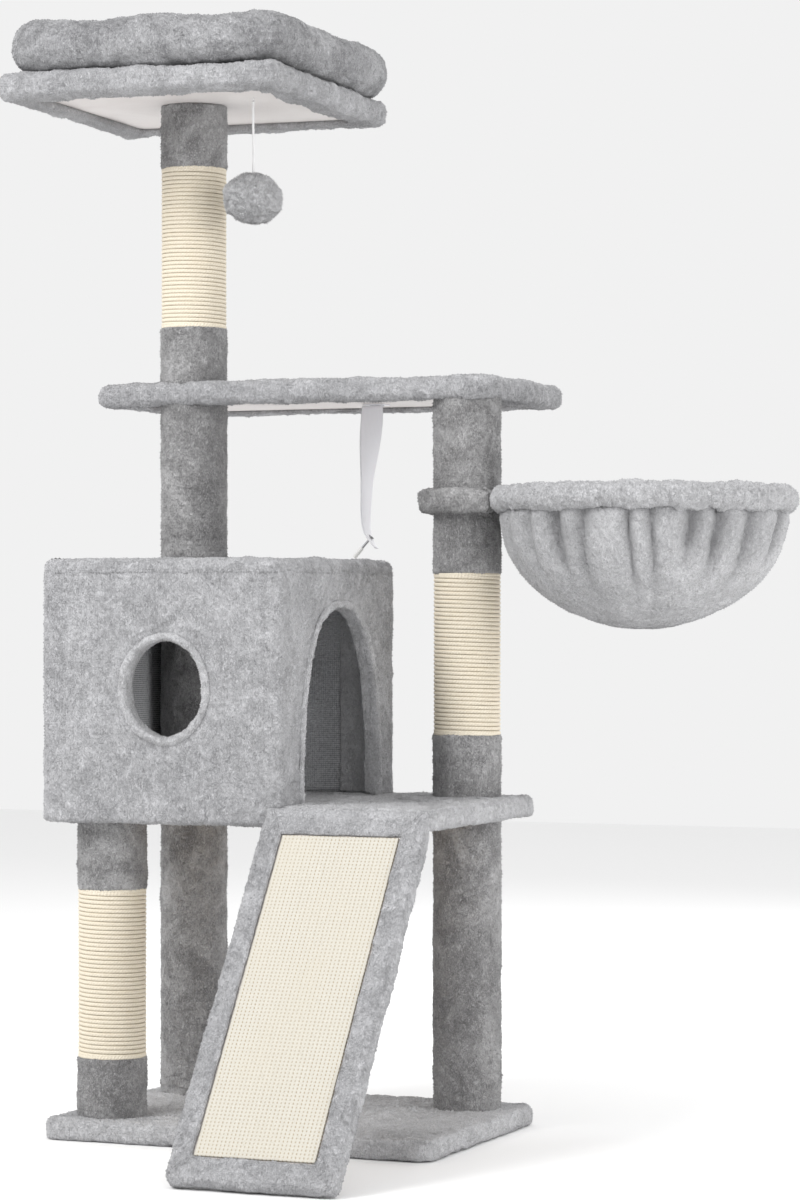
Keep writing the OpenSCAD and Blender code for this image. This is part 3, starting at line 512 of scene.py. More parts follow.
def raise_tufts(piece, weight, high, nap, first=None):
    """Draws each square of pile, or each of the first few, out to a small leaning point.

    The points are up to high millimetres tall.
    """
    mesh = piece.data
    sizes = np.empty(len(mesh.polygons), int)
    mesh.polygons.foreach_get("loop_total", sizes)
    starts = np.empty(len(sizes), int)
    mesh.polygons.foreach_get("loop_start", starts)
    corners = np.empty(len(mesh.loops), int)
    mesh.loops.foreach_get("vertex_index", corners)
    chosen = np.flatnonzero(sizes == 4)
    chosen = chosen[:first] if first else chosen
    ring = corners[starts[chosen][:, None] + np.arange(4)]
    keep = weight[ring].min(1) > 0.45
    chosen, ring = chosen[keep], ring[keep]
    points, normals = points_of(piece), normals_of(piece)
    middle, up = points[ring].mean(1), normals[ring].mean(1)
    rng = np.random.default_rng(11)
    rise = high * rng.uniform(0.25, 1.0, (len(ring), 1))
    lay = np.array(nap) - up * (up @ np.array(nap))[:, None]
    shift = 0.55 * rise * lay + 0.3 * rng.normal(0.0, 1.0, (len(ring), 3))
    middle = middle + (up * rise + np.clip(shift, -0.9, 0.9)) * MM
    tips = len(points) + np.arange(len(ring))
    after = np.roll(ring, -1, axis=1)
    sides = np.stack([ring, after, np.broadcast_to(tips[:, None], ring.shape)], -1).reshape(-1, 3)
    gone = np.zeros(len(sizes), bool)
    gone[chosen] = True
    faces = [corners[a:a + n].tolist() for a, n in zip(starts[~gone], sizes[~gone])]
    fresh = bpy.data.meshes.new(piece.name)
    fresh.from_pydata(np.concatenate([points, middle]).tolist(), [], faces + sides.tolist())
    fresh.polygons.foreach_set("use_smooth", [True] * len(fresh.polygons))
    for material in mesh.materials:
        fresh.materials.append(material)
    piece.data = fresh


def apply_modifiers(piece):
    bpy.context.view_layer.update()
    ready = piece.evaluated_get(bpy.context.evaluated_depsgraph_get())
    mesh = bpy.data.meshes.new_from_object(ready)
    piece.modifiers.clear()
    piece.data = mesh


def thicken(piece, thickness):
    solid = piece.modifiers.new("thickness", "SOLIDIFY")
    solid.thickness = thickness * MM
    solid.offset = -1.0
    solid.use_even_offset = False
    solid.use_rim = True
    apply_modifiers(piece)


def fluffy_sheet(piece, thickness, pile, nap, high):
    """Gives a sheet its pile, a second layer behind it, and tufts on the first layer alone."""
    fluff(piece, 1.0, *pile, nap, 0.0)
    squares = len(piece.data.polygons)
    thicken(piece, thickness)
    raise_tufts(piece, np.ones(len(piece.data.vertices)), high, nap, squares)


def spread(start, end, step):
    """Evenly spaced values from start to end, both kept, about a step apart."""
    return np.linspace(start, end, max(2, int(math.ceil(abs(end - start) / step)) + 1))


def round_outline(w, d, radii, step=4.0, middle=(0.0, 0.0)):
    """Points and outward normals round a rectangle, in millimetres; radii run from +X+Y anticlockwise."""
    if not isinstance(radii, tuple):
        radii = (radii,) * 4
    corners = list(zip(((1, 1), (-1, 1), (-1, -1), (1, -1)), radii, (0.0, 90.0, 180.0, 270.0)))
    points, normals = [], []
    for (sx, sy), r, turn in corners:
        arc = spread(turn, turn + 90.0, math.degrees(step / r) if r > step else 45.0)
        for angle in np.radians(arc):
            n = (math.cos(angle), math.sin(angle))
            points.append((sx * (w / 2 - r) + r * n[0], sy * (d / 2 - r) + r * n[1]))
            normals.append(n)
    all_points, all_normals = [], []
    for i, point in enumerate(points):
        following = points[(i + 1) % len(points)]
        gap = math.dist(point, following)
        parts = max(1, round(gap / step)) if gap > 1.6 * step else 1
        for k in range(parts):
            all_points.append([a + (b - a) * k / parts for a, b in zip(point, following)])
            all_normals.append(normals[i])
    return np.array(all_points) + np.array(middle), np.array(all_normals)


def outline_normals(points):
    ahead = np.roll(points, -1, axis=0) - np.roll(points, 1, axis=0)
    ahead /= np.linalg.norm(ahead, axis=1)[:, None]
    return np.stack([ahead[:, 1], -ahead[:, 0]], axis=1)


class Plan:
    """An outline and its middle, that gives rings set in from the edge and shrunk to the middle."""

    def __init__(self, outline, middle):
        self.points, self.normals = outline
        self.middle = np.array(middle, float)
        self.half = np.abs(self.points - self.middle).max(0)

    def ring(self, inset, z, margin=0.0, shrink=1.0):
        flat = self.points - self.normals * inset
        scale = (1.0 - margin / self.half) * shrink
        return at_height(self.middle + (flat - self.middle) * scale, z)


def arc_rings(plan, edge, z, up, outward):
    """Rings round a quarter circle between a face and the side; up is 1 at the top and -1 at the bottom."""
    rings = []
    for angle in np.radians(spread(0.0, 90.0, 22.0)):
        turn = angle if outward else math.pi / 2 - angle
        inset = edge * (1.0 - math.sin(turn))
        rings.append(plan.ring(inset, z - up * edge * (1.0 - math.cos(turn))))
    return rings


def wrapped(name, plan, z0, z1, nodes, margin=28.0, edge=7.0, low_edge=5.0, step=4.2,
            thick=3.8, material="plush", **pile_options):
    """Plush over a board's top and sides, turned under by a margin, as a closed shell."""
    reach = plan.half.max()
    rings = [plan.ring(edge, z1, shrink=s) for s in spread(0.012, 1.0, step / reach)[:-1]]
    rings += arc_rings(plan, edge, z1, 1, True)
    rings += [plan.ring(0.0, z) for z in spread(z1 - edge, z0 + low_edge, step)[1:-1]]
    rings += arc_rings(plan, low_edge, z0, -1, False)
    if margin:
        rings += [plan.ring(low_edge, z0, margin=m) for m in spread(0.0, margin, step)[1:]]
        outside = len(rings)
        rings += [plan.ring(low_edge, z0 + thick, margin=margin), plan.ring(thick, z0 + thick)]
        rings += [plan.ring(thick, z1 - thick)]
        rings += [plan.ring(thick, z1 - thick, shrink=s) for s in (0.7, 0.4, 0.1)]
    else:
        rings += [plan.ring(low_edge, z0, shrink=s) for s in (0.8, 0.5, 0.1)]
        outside = len(rings)
    piece = ring_piece(name, rings, material)
    weight = np.zeros(len(piece.data.vertices))
    weight[:outside * len(plan.points)] = 1.0
    weight[len(rings) * len(plan.points)] = 1.0
    fluff(piece, weight, **pile_options)
    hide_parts(*nodes)
    return piece


def pierce(piece, places, radius, joined=True):
    """Opens the plush where a post stands, inside the post's own outline, and joins the two layers."""
    work = bmesh.new()
    work.from_mesh(piece.data)
    for x, y in places:
        near = [f for f in work.faces
                if all(math.hypot(v.co.x / MM - x, v.co.y / MM - y) < radius for v in f.verts)]
        bmesh.ops.delete(work, geom=near, context="FACES")
        edges = [e for e in work.edges if e.is_boundary and joined]
        if edges:
            bmesh.ops.bridge_loops(work, edges=edges)
    work.to_mesh(piece.data)
    work.free()


def cut_hole(piece, inside, snap):
    """Takes out the faces inside an outline and draws the ragged edge onto it."""
    work = bmesh.new()
    work.from_mesh(piece.data)
    before = {v for v in work.verts if v.is_boundary}
    gone = [f for f in work.faces if inside(f.calc_center_median() / MM)]
    bmesh.ops.delete(work, geom=gone, context="FACES")
    for v in work.verts:
        if v.is_boundary and v not in before:
            v.co = Vector(snap(v.co / MM)) * MM
    work.to_mesh(piece.data)
    work.free()


# ---------- cords ----------

# the pompom cord's middle line from the knot down, and 10 mm on into the ball
CORD_ROUTE = [
    (-84.0, 68.0, 1258.4), (-84.0, 68.0, 1254.0), (-84.1, 68.0, 1248.0), (-84.2, 67.9, 1241.0),
    (-84.2, 67.8, 1234.0), (-84.1, 67.8, 1227.0), (-84.0, 67.8, 1220.0), (-83.8, 67.9, 1213.0),
    (-83.7, 68.0, 1206.0), (-83.6, 68.1, 1199.0), (-83.6, 68.1, 1192.0), (-83.7, 68.1, 1185.0),
    (-83.8, 68.0, 1178.0), (-84.0, 68.0, 1172.0), (-84.0, 68.0, 1168.2), (-84.0, 68.0, 1158.0),
]
# the strap's middle line from just under its fold, and the turn of its width from +X in degrees
STRAP_ROUTE = [
    (11.0, 220.0, 887.8, 0.0), (11.0, 219.8, 882.0, 5.0), (10.8, 219.5, 872.0, 16.0),
    (10.2, 219.0, 860.0, 28.0), (9.2, 218.8, 846.0, 41.0), (8.0, 218.8, 832.0, 54.0),
    (6.8, 219.0, 818.0, 65.0), (5.6, 219.2, 804.0, 74.0), (4.6, 219.4, 790.0, 80.0),
    (3.8, 219.6, 776.0, 83.0), (3.2, 219.8, 762.0, 85.0), (2.9, 219.8, 749.0, 87.0),
    (3.4, 219.6, 738.0, 90.0), (5.2, 219.4, 728.0, 94.0), (8.6, 219.4, 720.0, 99.0),
    (13.0, 219.6, 713.0, 103.0), (18.0, 219.8, 707.0, 106.0),
]
STRAP_HALF = 14.0
STRAP_T = 1.2


def refined(route, step):
    """A route with its points joined smoothly, a step apart."""
    route = np.array(route, float)
    reach = np.concatenate([[0.0], np.cumsum(np.linalg.norm(np.diff(route[:, :3], axis=0), axis=1))])
    slopes = np.gradient(route, reach, axis=0)
    at = spread(0.0, reach[-1], step)
    i = np.clip(np.searchsorted(reach, at, side="right") - 1, 0, len(route) - 2)
    span = (reach[i + 1] - reach[i])[:, None]
    t = ((at - reach[i]) / span[:, 0])[:, None]
    first = (2 * t ** 3 - 3 * t ** 2 + 1) * route[i] + (t ** 3 - 2 * t ** 2 + t) * span * slopes[i]
    second = (3 * t ** 2 - 2 * t ** 3) * route[i + 1] + (t ** 3 - t ** 2) * span * slopes[i + 1]
    return first + second


def route_length(route):
    return float(np.linalg.norm(np.diff(np.array(route)[:, :3], axis=0), axis=1).sum())


def uv_strip(piece, around, along):
    """UVs in metres on a swept mesh: across from the point's place in its ring, along from its ring."""
    layer = piece.data.uv_layers.new(name="length")
    across = np.asarray(around)
    count = len(across)
    for polygon in piece.data.polygons:
        ids = [piece.data.loops[i].vertex_index for i in polygon.loop_indices]
        places = [k % count for k in ids]
        wraps = max(places) - min(places) > count // 2
        for loop_index, k, place in zip(polygon.loop_indices, ids, places):
            ring = min(k // count, len(along) - 1)
            u = across[place]
            if wraps and place < count // 2:
                u += across[-1] + (across[-1] - across[-2])
            layer.data[loop_index].uv = (u, along[ring])


def uv_flat(piece, places):
    """UVs in metres from the first two values of each point's place."""
    layer = piece.data.uv_layers.new(name="length")
    ids = np.empty(len(piece.data.loops), int)
    piece.data.loops.foreach_get("vertex_index", ids)
    layer.data.foreach_set("uv", places[ids][:, :2].ravel())


def make_pompom_cord():
    route = refined(CORD_ROUTE, 2.0)
    sides = 12
    rings = []
    for i, point in enumerate(route):
        ahead = Vector(route[min(i + 1, len(route) - 1)] - route[max(i - 1, 0)]).normalized()
        u = ahead.cross(Vector((0.0, 1.0, 0.0))).normalized()
        v = ahead.cross(u)
        angles = [2.0 * math.pi * j / sides + 0.35 * i for j in range(sides)]
        radii = [1.5 - 0.14 * (j % 3 == 0) for j in range(sides)]
        rings.append([point + r * (math.cos(a) * np.array(u) + math.sin(a) * np.array(v))
                      for a, r in zip(angles, radii)])
    cord = ring_piece("pompom_cord_braid", rings, "cord", "pompom")
    uv_strip(cord, np.arange(sides) * 0.00078, np.linspace(0.0, route_length(route) * MM, len(route)))
    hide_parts("pompom_cord")
    return cord, route


def make_pompom():
    """A fluffy ball whose pile stands out in tufts."""
    middle, half = box_of("pompom_ball")[2:]
    rings = []
    for tilt in np.radians(np.linspace(-88.0, 88.0, 62)):
        turn = full_turn(96)
        flat = np.column_stack([np.cos(turn) * math.cos(tilt), np.sin(turn) * math.cos(tilt)])
        rings.append(middle + at_height(flat, math.sin(tilt)) * (half - 1.6))
    # the pale plush here is painted light, for the shade the perch casts on the pompom
    ball = ring_piece("pompom_fluff", rings, "pale_plush_painted_light", "pompom")
    fluff(ball, 1.0, 1.4, 3.2, 1.4, (0.3, 0.2, -0.6), 3.6)
    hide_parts("pompom_ball")
    return ball


def make_strap():
    route = refined(STRAP_ROUTE, 3.0)
    steps = 10
    rings = []
    for x, y, z, turn in route:
        u = np.array((math.cos(math.radians(turn)), math.sin(math.radians(turn)), 0.0))
        v = np.array((-u[1], u[0], 0.0))
        across = np.linspace(-1.0, 1.0, steps + 1)
        cup = 0.9 * (across ** 2 - 0.4) * min(1.0, (route[0][2] - z) / 25.0)
        front = [np.array((x, y, z)) + s * STRAP_HALF * u + (c - STRAP_T / 2) * v
                 for s, c in zip(across, cup)]
        behind = [p + STRAP_T * v for p in front]
        rings.append(front + behind[::-1])
    strap = ring_piece("strap_webbing", rings, "webbing", "hanging_strap")
    width = np.linspace(0.0, 2.0 * STRAP_HALF * MM, steps + 1)
    uv_strip(strap, np.concatenate([width, width[::-1]]),
             np.linspace(0.0, route_length(route) * MM, len(route)))
    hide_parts("strap")
    return strap, route[:, :3]


def make_strap_tab():
    """The strap's flat end under the shelf, with a hole for its screw."""
    low, high, middle, half = box_of("strap_tab")
    hole = np.array((11.0, 236.0))
    rings = []
    for share, z in ((0.0, high[2]), (0.5, high[2]), (1.0, high[2]), (1.0, low[2]), (0.5, low[2]),
                     (0.0, low[2])):
        ring = []
        for turn in np.radians(np.arange(0.0, 360.0, 7.5)):
            way = np.array((math.cos(turn), math.sin(turn)))
            reach = min((half[k] - math.copysign(1.0, way[k]) * (hole - middle[:2])[k]) / abs(way[k])
                        for k in (0, 1) if abs(way[k]) > 1e-6)
            ring.append((*(hole + way * (2.0 + (reach - 2.0) * share)), z))
        rings.append(ring)
    tab = ring_piece("strap_fold", rings, "webbing", loop=True)
    uv_flat(tab, points_of(tab))
    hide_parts("strap_tab")


def make_cords():
    cord, route = make_pompom_cord()
    ball = make_pompom()
    strap, line = make_strap()
    make_strap_tab()


# ---------- posts ----------

LEFT_FRONT = (-187.0, -112.0)
LEFT_BACK = (-187.0, 113.0)
RIGHT_BACK = (182.0, 113.0)
POST_R = 42.0
TUBE_R = 37.0
ROPE_R = 2.5
# node, place, foot, top, and the rope's foot and top where the post has one
POSTS = [
    ("front_post", LEFT_FRONT, 19.0, 382.0, (94.0, 297.0)),
    ("back_post", LEFT_BACK, 19.0, 382.0, ()),
    ("right_post", RIGHT_BACK, 19.0, 382.0, ()),
    ("house_post", LEFT_BACK, 397.0, 676.0, ()),
    ("roof_post", LEFT_BACK, 685.0, 890.0, ()),
    ("tower_post", LEFT_BACK, 908.0, 1262.0, (982.0, 1184.0)),
    ("lower_post", RIGHT_BACK, 397.0, 752.0, (477.0, 675.0)),
    ("upper_post", RIGHT_BACK, 770.0, 890.0, ()),
]


def sleeve(name, place, z0, z1, node):
    """A sewn plush sleeve with a sunk seam up its back and soft ends."""
    turn = full_turn(80)
    way = np.column_stack([np.cos(turn), np.sin(turn)])
    seam = 1.7 * np.exp(-(((turn - math.radians(100.0)) / 0.035) ** 2))

    def ring(radius, z, sunk=0.0):
        return at_height(np.array(place) + way * (radius - sunk * seam)[:, None], z)

    full = np.full(len(turn), POST_R - 0.9)
    inner = np.full(len(turn), TUBE_R + 0.15)
    rings = [ring(inner, z0 + 0.2), ring(full - 1.5, z0 + 0.2, 1.0), ring(full - 0.4, z0 + 1.2, 1.0)]
    rings += [ring(full, z, 1.0) for z in spread(z0 + 3.4, z1 - 3.4, 3.6)]
    rings += [ring(full - 0.4, z1 - 1.2, 1.0), ring(full - 1.5, z1 - 0.2, 1.0), ring(inner, z1 - 0.2)]
    piece = ring_piece(name, rings, "post_plush", loop=True)
    weight = np.repeat([0.0, 0.5] + [1.0] * (len(rings) - 4) + [0.5, 0.0], len(turn))
    fluff(piece, weight, 0.5, 1.1, 1.1, (0.1, 0.0, -1.0))
    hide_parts(node)


def wound_rope(name, place, z0, z1, node):
    """One rope wound up the tube, with its turns touching and a strand twist along it."""
    turns = math.floor((z1 - z0) / (2.0 * ROPE_R))
    pitch = (z1 - z0) / turns
    steps, sides = 52, 8
    count = int((turns + 1) * steps) + 1
    girth = full_turn(sides)
    around = 2.0 * math.pi * np.arange(count) / steps
    wobble = 0.12 * noise(np.column_stack([around * 0.01, around * 0.0, around * 0.0]), 0.011)
    rise = z0 + pitch * np.clip(around / (2.0 * math.pi) - 0.5, 0.5, turns - 0.5) + wobble
    lay = TUBE_R + ROPE_R + wobble
    rings = np.empty((count, sides, 3))
    for j, g in enumerate(girth):
        # pulled tight, the rope lies a little flat on the tube
        out = lay - 0.3 + (ROPE_R - 0.75) * math.cos(g)
        rings[:, j, 0] = place[0] + out * np.sin(around)
        rings[:, j, 1] = place[1] + out * np.cos(around)
        rings[:, j, 2] = rise + (ROPE_R - 0.05) * math.sin(g)
    piece = ring_piece(name, rings, "sisal_rope")
    length = around * (TUBE_R + ROPE_R) * MM
    uv_strip(piece, girth / (2.0 * math.pi), length)
    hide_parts(node)


def make_posts():
    for name, place, z0, z1, rope in POSTS:
        node = name + "_sleeve"
        if rope:
            sleeve(name + "_low_plush", place, z0, rope[0] + 1.2, node)
            sleeve(name + "_high_plush", place, rope[1] - 1.2, z1, node)
            wound_rope(name + "_wound_rope", place, rope[0], rope[1], name + "_rope")
        else:
            sleeve(name + "_plush", place, z0, z1, node)


# ---------- base, deck and shelf ----------

BASE_SIZE = (500.0, 350.0)
BOARD_R = 20.0
# each board's middle and size in plan
STEP = ((155.6, -1.0), (188.8, 352.0))
HOUSE_FLOOR = ((-87.5, 0.0), (295.0, 320.0))
SHELF = ((-38.5, 205.0), (531.0, 276.0))
BRACKET_R = 60.0


def make_base():
    plan = Plan(round_outline(*BASE_SIZE, BOARD_R), (0.0, 0.0))
    # the lighter rim plush here is painted light, for the shade the tree above casts on the base
    base = wrapped("base_plush", plan, 0.6, 24.0, ["base_cover"], edge=8.0, material="rim_plush")
    pierce(base, [LEFT_FRONT, LEFT_BACK, RIGHT_BACK], 40.0)
    keep_above(base, 0.0)


def make_deck():
    middle, size = STEP
    outline = round_outline(*size, (BOARD_R, 2.0, 2.0, BOARD_R), 4.0, middle)
    # the lighter rim plush here is painted light, for the shade of the shelf above the deck
    deck = wrapped("deck_plush", Plan(outline, middle), 378.0, DECK_TOP, ["deck_cover"], edge=5.5,
                   material="rim_plush")
    pierce(deck, [RIGHT_BACK], 40.0)
    middle, size = HOUSE_FLOOR
    outline = round_outline(*size, 2.0, 6.0, middle)
    floor = wrapped("house_floor_plush", Plan(outline, middle), 397.1, DECK_TOP, ["deck_cover"], 0.0,
                    1.5, 1.0, 6.0)
    pierce(floor, [LEFT_BACK], 38.0)


def make_shelf():
    middle, size = SHELF
    plan = Plan(round_outline(*size, BOARD_R, 4.0, middle), middle)
    shelf = wrapped("shelf_plush", plan, 886.0, 913.0, ["shelf_cover"], edge=11.0, low_edge=9.0,
                    lump=1.7, tuft=1.7)
    pierce(shelf, [LEFT_BACK], 40.0)


def make_bracket():
    """A round-ended board round the right post, hollowed where the hammock's rim meets it."""
    centre, ring_middle, ring_out = np.array(RIGHT_BACK), RING[:2], 184.6
    end = math.asin(BRACKET_R / ring_out)
    back = [centre + BRACKET_R * np.array((math.cos(a), math.sin(a)))
            for a in np.radians(spread(90.0, 270.0, 4.0))]
    hollow = [ring_middle - ring_out * np.array((math.cos(a), -math.sin(a)))
              for a in spread(-end, end, 0.022)]
    run, home = ([start + (stop - start) * t for t in np.linspace(0.0, 1.0, 13)[1:-1]]
                 for start, stop in ((back[-1], hollow[0]), (hollow[-1], back[0])))
    points = np.array([*back, *run, *hollow, *home])
    plan = Plan((points, outline_normals(points)), (190.0, 113.0))
    bracket = wrapped("bracket_plush", plan, 748.0, 776.0, ["bracket_cover"], 12.0, 8.0, 8.0,
                      material="post_plush", lump=1.6, tuft=2.0)
    pierce(bracket, [RIGHT_BACK], 40.0)


# ---------- house ----------

HOUSE = (-250.0, 61.0)
HOUSE_HALF_D = 175.0
DECK_TOP = 402.0
WINDOW = (-87.0, 537.0)
WINDOW_SIZE = (100.0, 114.0)
DOOR = (4.0, 226.0, 230.0)
ARCH_POWER = 0.8


def ellipse(grow, count=120):
    turn = full_turn(count)
    return np.column_stack([WINDOW[0] + (WINDOW_SIZE[0] / 2 + grow) * np.cos(turn),
                            WINDOW[1] + (WINDOW_SIZE[1] / 2 + 1.15 * grow) * np.sin(turn)])


def arch_line(grow, foot, count=110):
    """Points (y, z) up one side of the doorway, over its arch and down the other side."""
    middle, width, height = DOOR
    turn = np.linspace(0.0, math.pi, count)
    c, s = np.cos(turn), np.sin(turn)
    y = (width / 2 + grow) * np.sign(c) * np.abs(c) ** ARCH_POWER
    z = (height + grow) * np.clip(s, 0.0, 1.0) ** ARCH_POWER
    line = np.column_stack([middle + y, DECK_TOP + z])
    feet = [line[0] - (0.0, foot)], [line[-1] - (0.0, foot)]
    return np.concatenate([feet[0], line, feet[1]])


def inside_window(point, grow):
    u = (point[0] - WINDOW[0]) / (WINDOW_SIZE[0] / 2 + grow)
    v = (point[2] - WINDOW[1]) / (WINDOW_SIZE[1] / 2 + 1.15 * grow)
    return u * u + v * v < 1.0


def inside_door(point, grow):
    middle, width, height = DOOR
    u = abs(point[1] - middle) / (width / 2 + grow)
    v = max(point[2] - DECK_TOP, 0.0) / (height + grow)
    power = 2.0 / ARCH_POWER
    return u ** power + v ** power < 1.0 and point[2] > DECK_TOP - 4.0


def onto(line, point, axes):
    gaps = np.hypot(line[:, 0] - point[axes[0]], line[:, 1] - point[axes[1]])
    nearest = line[int(gaps.argmin())]
    moved = list(point)
    moved[axes[0]], moved[axes[1]] = nearest
    return moved


def open_house(piece, grow, front_y, right_x):
    """Cuts the window and the doorway out of a sheet that lies along the walls."""
    window_line, door_line = ellipse(grow, 720), arch_line(grow, 3.0, 900)
    cut_hole(piece, lambda p: abs(p[1] - front_y) < 4.0 and inside_window(p, grow),
             lambda p: onto(window_line, p, (0, 2)) if abs(p[1] - front_y) < 6.0 else p)
    cut_hole(piece, lambda p: abs(p[0] - right_x) < 4.0 and inside_door(p, grow),
             lambda p: onto(door_line, p, (1, 2)))


def sheet_of(name, rings, material, flip=False):
    rings = np.asarray(rings)
    points = rings.reshape(-1, 3) * MM
    return piece_of(name, points, quads(*rings.shape[:2]), material, "tree", flip)


def make_house_cover():
    middle = ((HOUSE[0] + HOUSE[1]) / 2, 0.0)
    size = (HOUSE[1] - HOUSE[0], 2 * HOUSE_HALF_D)
    plan = Plan(round_outline(*size, 11.0, 3.6, middle), middle)
    rings = [plan.ring(5.0, 378.4, margin=m) for m in spread(24.0, 0.0, 4.0)[:-1]]
    rings += arc_rings(plan, 5.0, 378.4, -1, False)[::-1]
    rings += [plan.ring(0.0, z) for z in spread(383.4, 673.8, 3.7)[1:]]
    rings += [plan.ring(0.3, 676.4), plan.ring(1.8, 677.5), plan.ring(4.2, 678.0)]
    cover = sheet_of("house_plush", rings, "plush")
    open_house(cover, 4.4, -HOUSE_HALF_D, HOUSE[1])
    fluffy_sheet(cover, 3.4, (0.8, 1.0, 0.8), (0.5, 0.0, -0.7), 1.7)
    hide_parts("house_cover")
    roof = wrapped("roof_plush", plan, 673.9, 690.0, ["roof_cover"], 0.0, 11.0, 0.6, 4.2, lump=1.2)
    pierce(roof, [LEFT_BACK], 40.0)


def make_lining():
    """Grey lining glued inside the walls and ceiling, with slack ripples."""
    middle, size = (-94.5, 0.0), (282.4, 321.4)
    plan = Plan(round_outline(*size, 3.0, 6.0, middle), middle)
    rings = [plan.ring(0.0, z) for z in spread(402.2, 672.0, 6.0)]
    rings += [plan.ring(3.0, 675.4, shrink=s) for s in (1.0, 0.96, *np.linspace(0.9, 0.02, 24))]
    lining = sheet_of("house_lining_cloth", rings, "lining", True)
    open_house(lining, 3.5, -size[1] / 2, middle[0] + size[0] / 2)
    points = points_of(lining)
    ripple = 0.45 * (1.0 + noise(points, 0.05)) + 0.15 * noise(points, 0.013)
    move_points(lining, points + normals_of(lining) * ripple[:, None] * MM)
    pierce(lining, [LEFT_BACK], 40.0, False)
    thicken(lining, 0.5)
    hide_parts("house_lining")


def bound_rim(name, line, section, axis, closed, node):
    """Plush rolled over a hole's edge: a section of (outward, depth) pairs swept along the outline."""
    ahead = np.roll(line, -1, axis=0) - np.roll(line, 1, axis=0)
    if not closed:
        ahead[0], ahead[-1] = line[1] - line[0], line[-1] - line[-2]
    ahead /= np.linalg.norm(ahead, axis=1)[:, None]
    outward = np.column_stack([ahead[:, 1], -ahead[:, 0]])
    rings = np.empty((len(line), len(section), 3))
    for j, (out, depth) in enumerate(section):
        flat = line + outward * out
        rings[:, j, 2] = flat[:, 1]
        rings[:, j, 1 - axis] = depth
        rings[:, j, axis] = flat[:, 0]
    rim = ring_piece(name, rings, "rim_plush", loop=closed)
    fluff(rim, 1.0, 0.6, 1.1, 0.9, (0.4, 0.2, -0.5))
    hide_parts(node)


def rim_section(face, back, outward):
    """A bead 9 mm wide over the face and a band through the wall; outward is the face's direction."""
    bead = [(9.2, 0.0), (8.8, 2.0), (7.0, 3.6), (4.6, 4.2), (2.4, 3.8), (0.9, 2.4), (0.1, 0.0)]
    lining = [(0.0, d) for d in spread(-3.0, -(abs(face - back) - 1.5), 3.2)]
    tail = [(1.6, -abs(face - back)), (3.6, -abs(face - back)), (4.6, -abs(face - back) + 1.6)]
    home = [(4.7, -8.0), (4.7, -1.2)]
    return [(out, face + outward * depth) for out, depth in (*bead, *lining, *tail, *home)]


def make_rims():
    bound_rim("window_binding", ellipse(0.0, 132), rim_section(-175.0, -157.0, -1.0), 0, True,
              "window_rim")
    bound_rim("door_binding", arch_line(0.0, -1.2, 190), rim_section(61.0, 43.5, 1.0), 1, False,
              "door_rim")


def make_trim():
    """A strip of plush up the inside of the back wall, which the doorway shows."""
    low, high = box_of("back_trim")[:2]
    rings = []
    for z in spread(low[2] + 1.0, high[2] - 1.0, 3.8):
        front = [(x, low[1] + 0.4 * (x in (low[0], high[0])), z) for x in spread(low[0], high[0], 3.6)]
        behind = [(high[0], high[1] - 0.1, z), (low[0], high[1] - 0.1, z)]
        rings.append(front + behind)
    # the pale plush here is painted light, for the dim inside of the house
    trim = ring_piece("back_trim_plush", rings, "pale_plush_painted_light")
    facing = (points_of(trim)[:, 1] < (high[1] - 1.0) * MM).astype(float)
    fluff(trim, facing, 0.6, 1.2, 1.0)
    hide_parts("back_trim")


# ---------- perch and bed ----------

PERCH = (-186.0, 120.0)
PERCH_SIZE = (370.0, 412.0)
PERCH_TURN = math.radians(3.5)
BED_Z = 1286.3
BED_SIZE = (388.0, 424.0)
BED_SHIFT = 8.0
BED_R = 34.0
BOLSTER_W = 66.0
PAD_SIZE = (258.0, 294.0)
CLOTH_STEPS = 20


def on_perch(rings, shift=0.0):
    rings = np.array(rings, float)
    x, y = rings[..., 0] + shift, rings[..., 1].copy()
    c, s = math.cos(PERCH_TURN), math.sin(PERCH_TURN)
    rings[..., 0] = PERCH[0] + c * x - s * y
    rings[..., 1] = PERCH[1] + s * x + c * y
    return rings


def make_perch():
    points, normals = round_outline(*PERCH_SIZE, BOARD_R)
    flat = on_perch(at_height(points, 0.0))[:, :2]
    c, s = math.cos(PERCH_TURN), math.sin(PERCH_TURN)
    turned = normals @ np.array(((c, s), (-s, c)))
    plan = Plan((flat, turned), PERCH)
    wrapped("perch_plush", plan, 1254.5, 1285.8, ["perch_cover"], 30.0, 11.0, 11.0, 4.2, 7.3,
            lump=1.9, tuft=1.9)


def remeshed(piece):
    remesh = piece.modifiers.new("remesh", "REMESH")
    remesh.mode = "VOXEL"
    remesh.voxel_size = 0.006
    remesh.use_smooth_shade = True
    apply_modifiers(piece)
    piece.data.materials.clear()
    piece.data.materials.append(MATERIALS[piece["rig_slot"]])


def inflate(piece, cap, pressure=4.0):
    """Swells a closed form as stuffed cloth, and keeps each point within a cap of where it began."""
    remeshed(piece)
    began = points_of(piece)
    cloth = piece.modifiers.new("cloth", "CLOTH")
    cloth.settings.quality = 4
    cloth.settings.mass = 0.3
    cloth.settings.use_pressure = True
    cloth.settings.uniform_pressure_force = pressure
    cloth.settings.effector_weights.gravity = 0.0
    cloth.point_cache.frame_start = 1
    cloth.point_cache.frame_end = CLOTH_STEPS
    for step in range(1, CLOTH_STEPS + 1):
        SCENE.frame_set(step)
    apply_modifiers(piece)
    SCENE.frame_set(1)
    moved = points_of(piece) - began
    reach = np.linalg.norm(moved, axis=1)
    share = np.minimum(1.0, cap * MM / np.maximum(reach, 1e-9))
    move_points(piece, began + moved * share[:, None])
    finer = piece.modifiers.new("finer", "SUBSURF")
    finer.levels = 1
    finer.render_levels = 1
    apply_modifiers(piece)


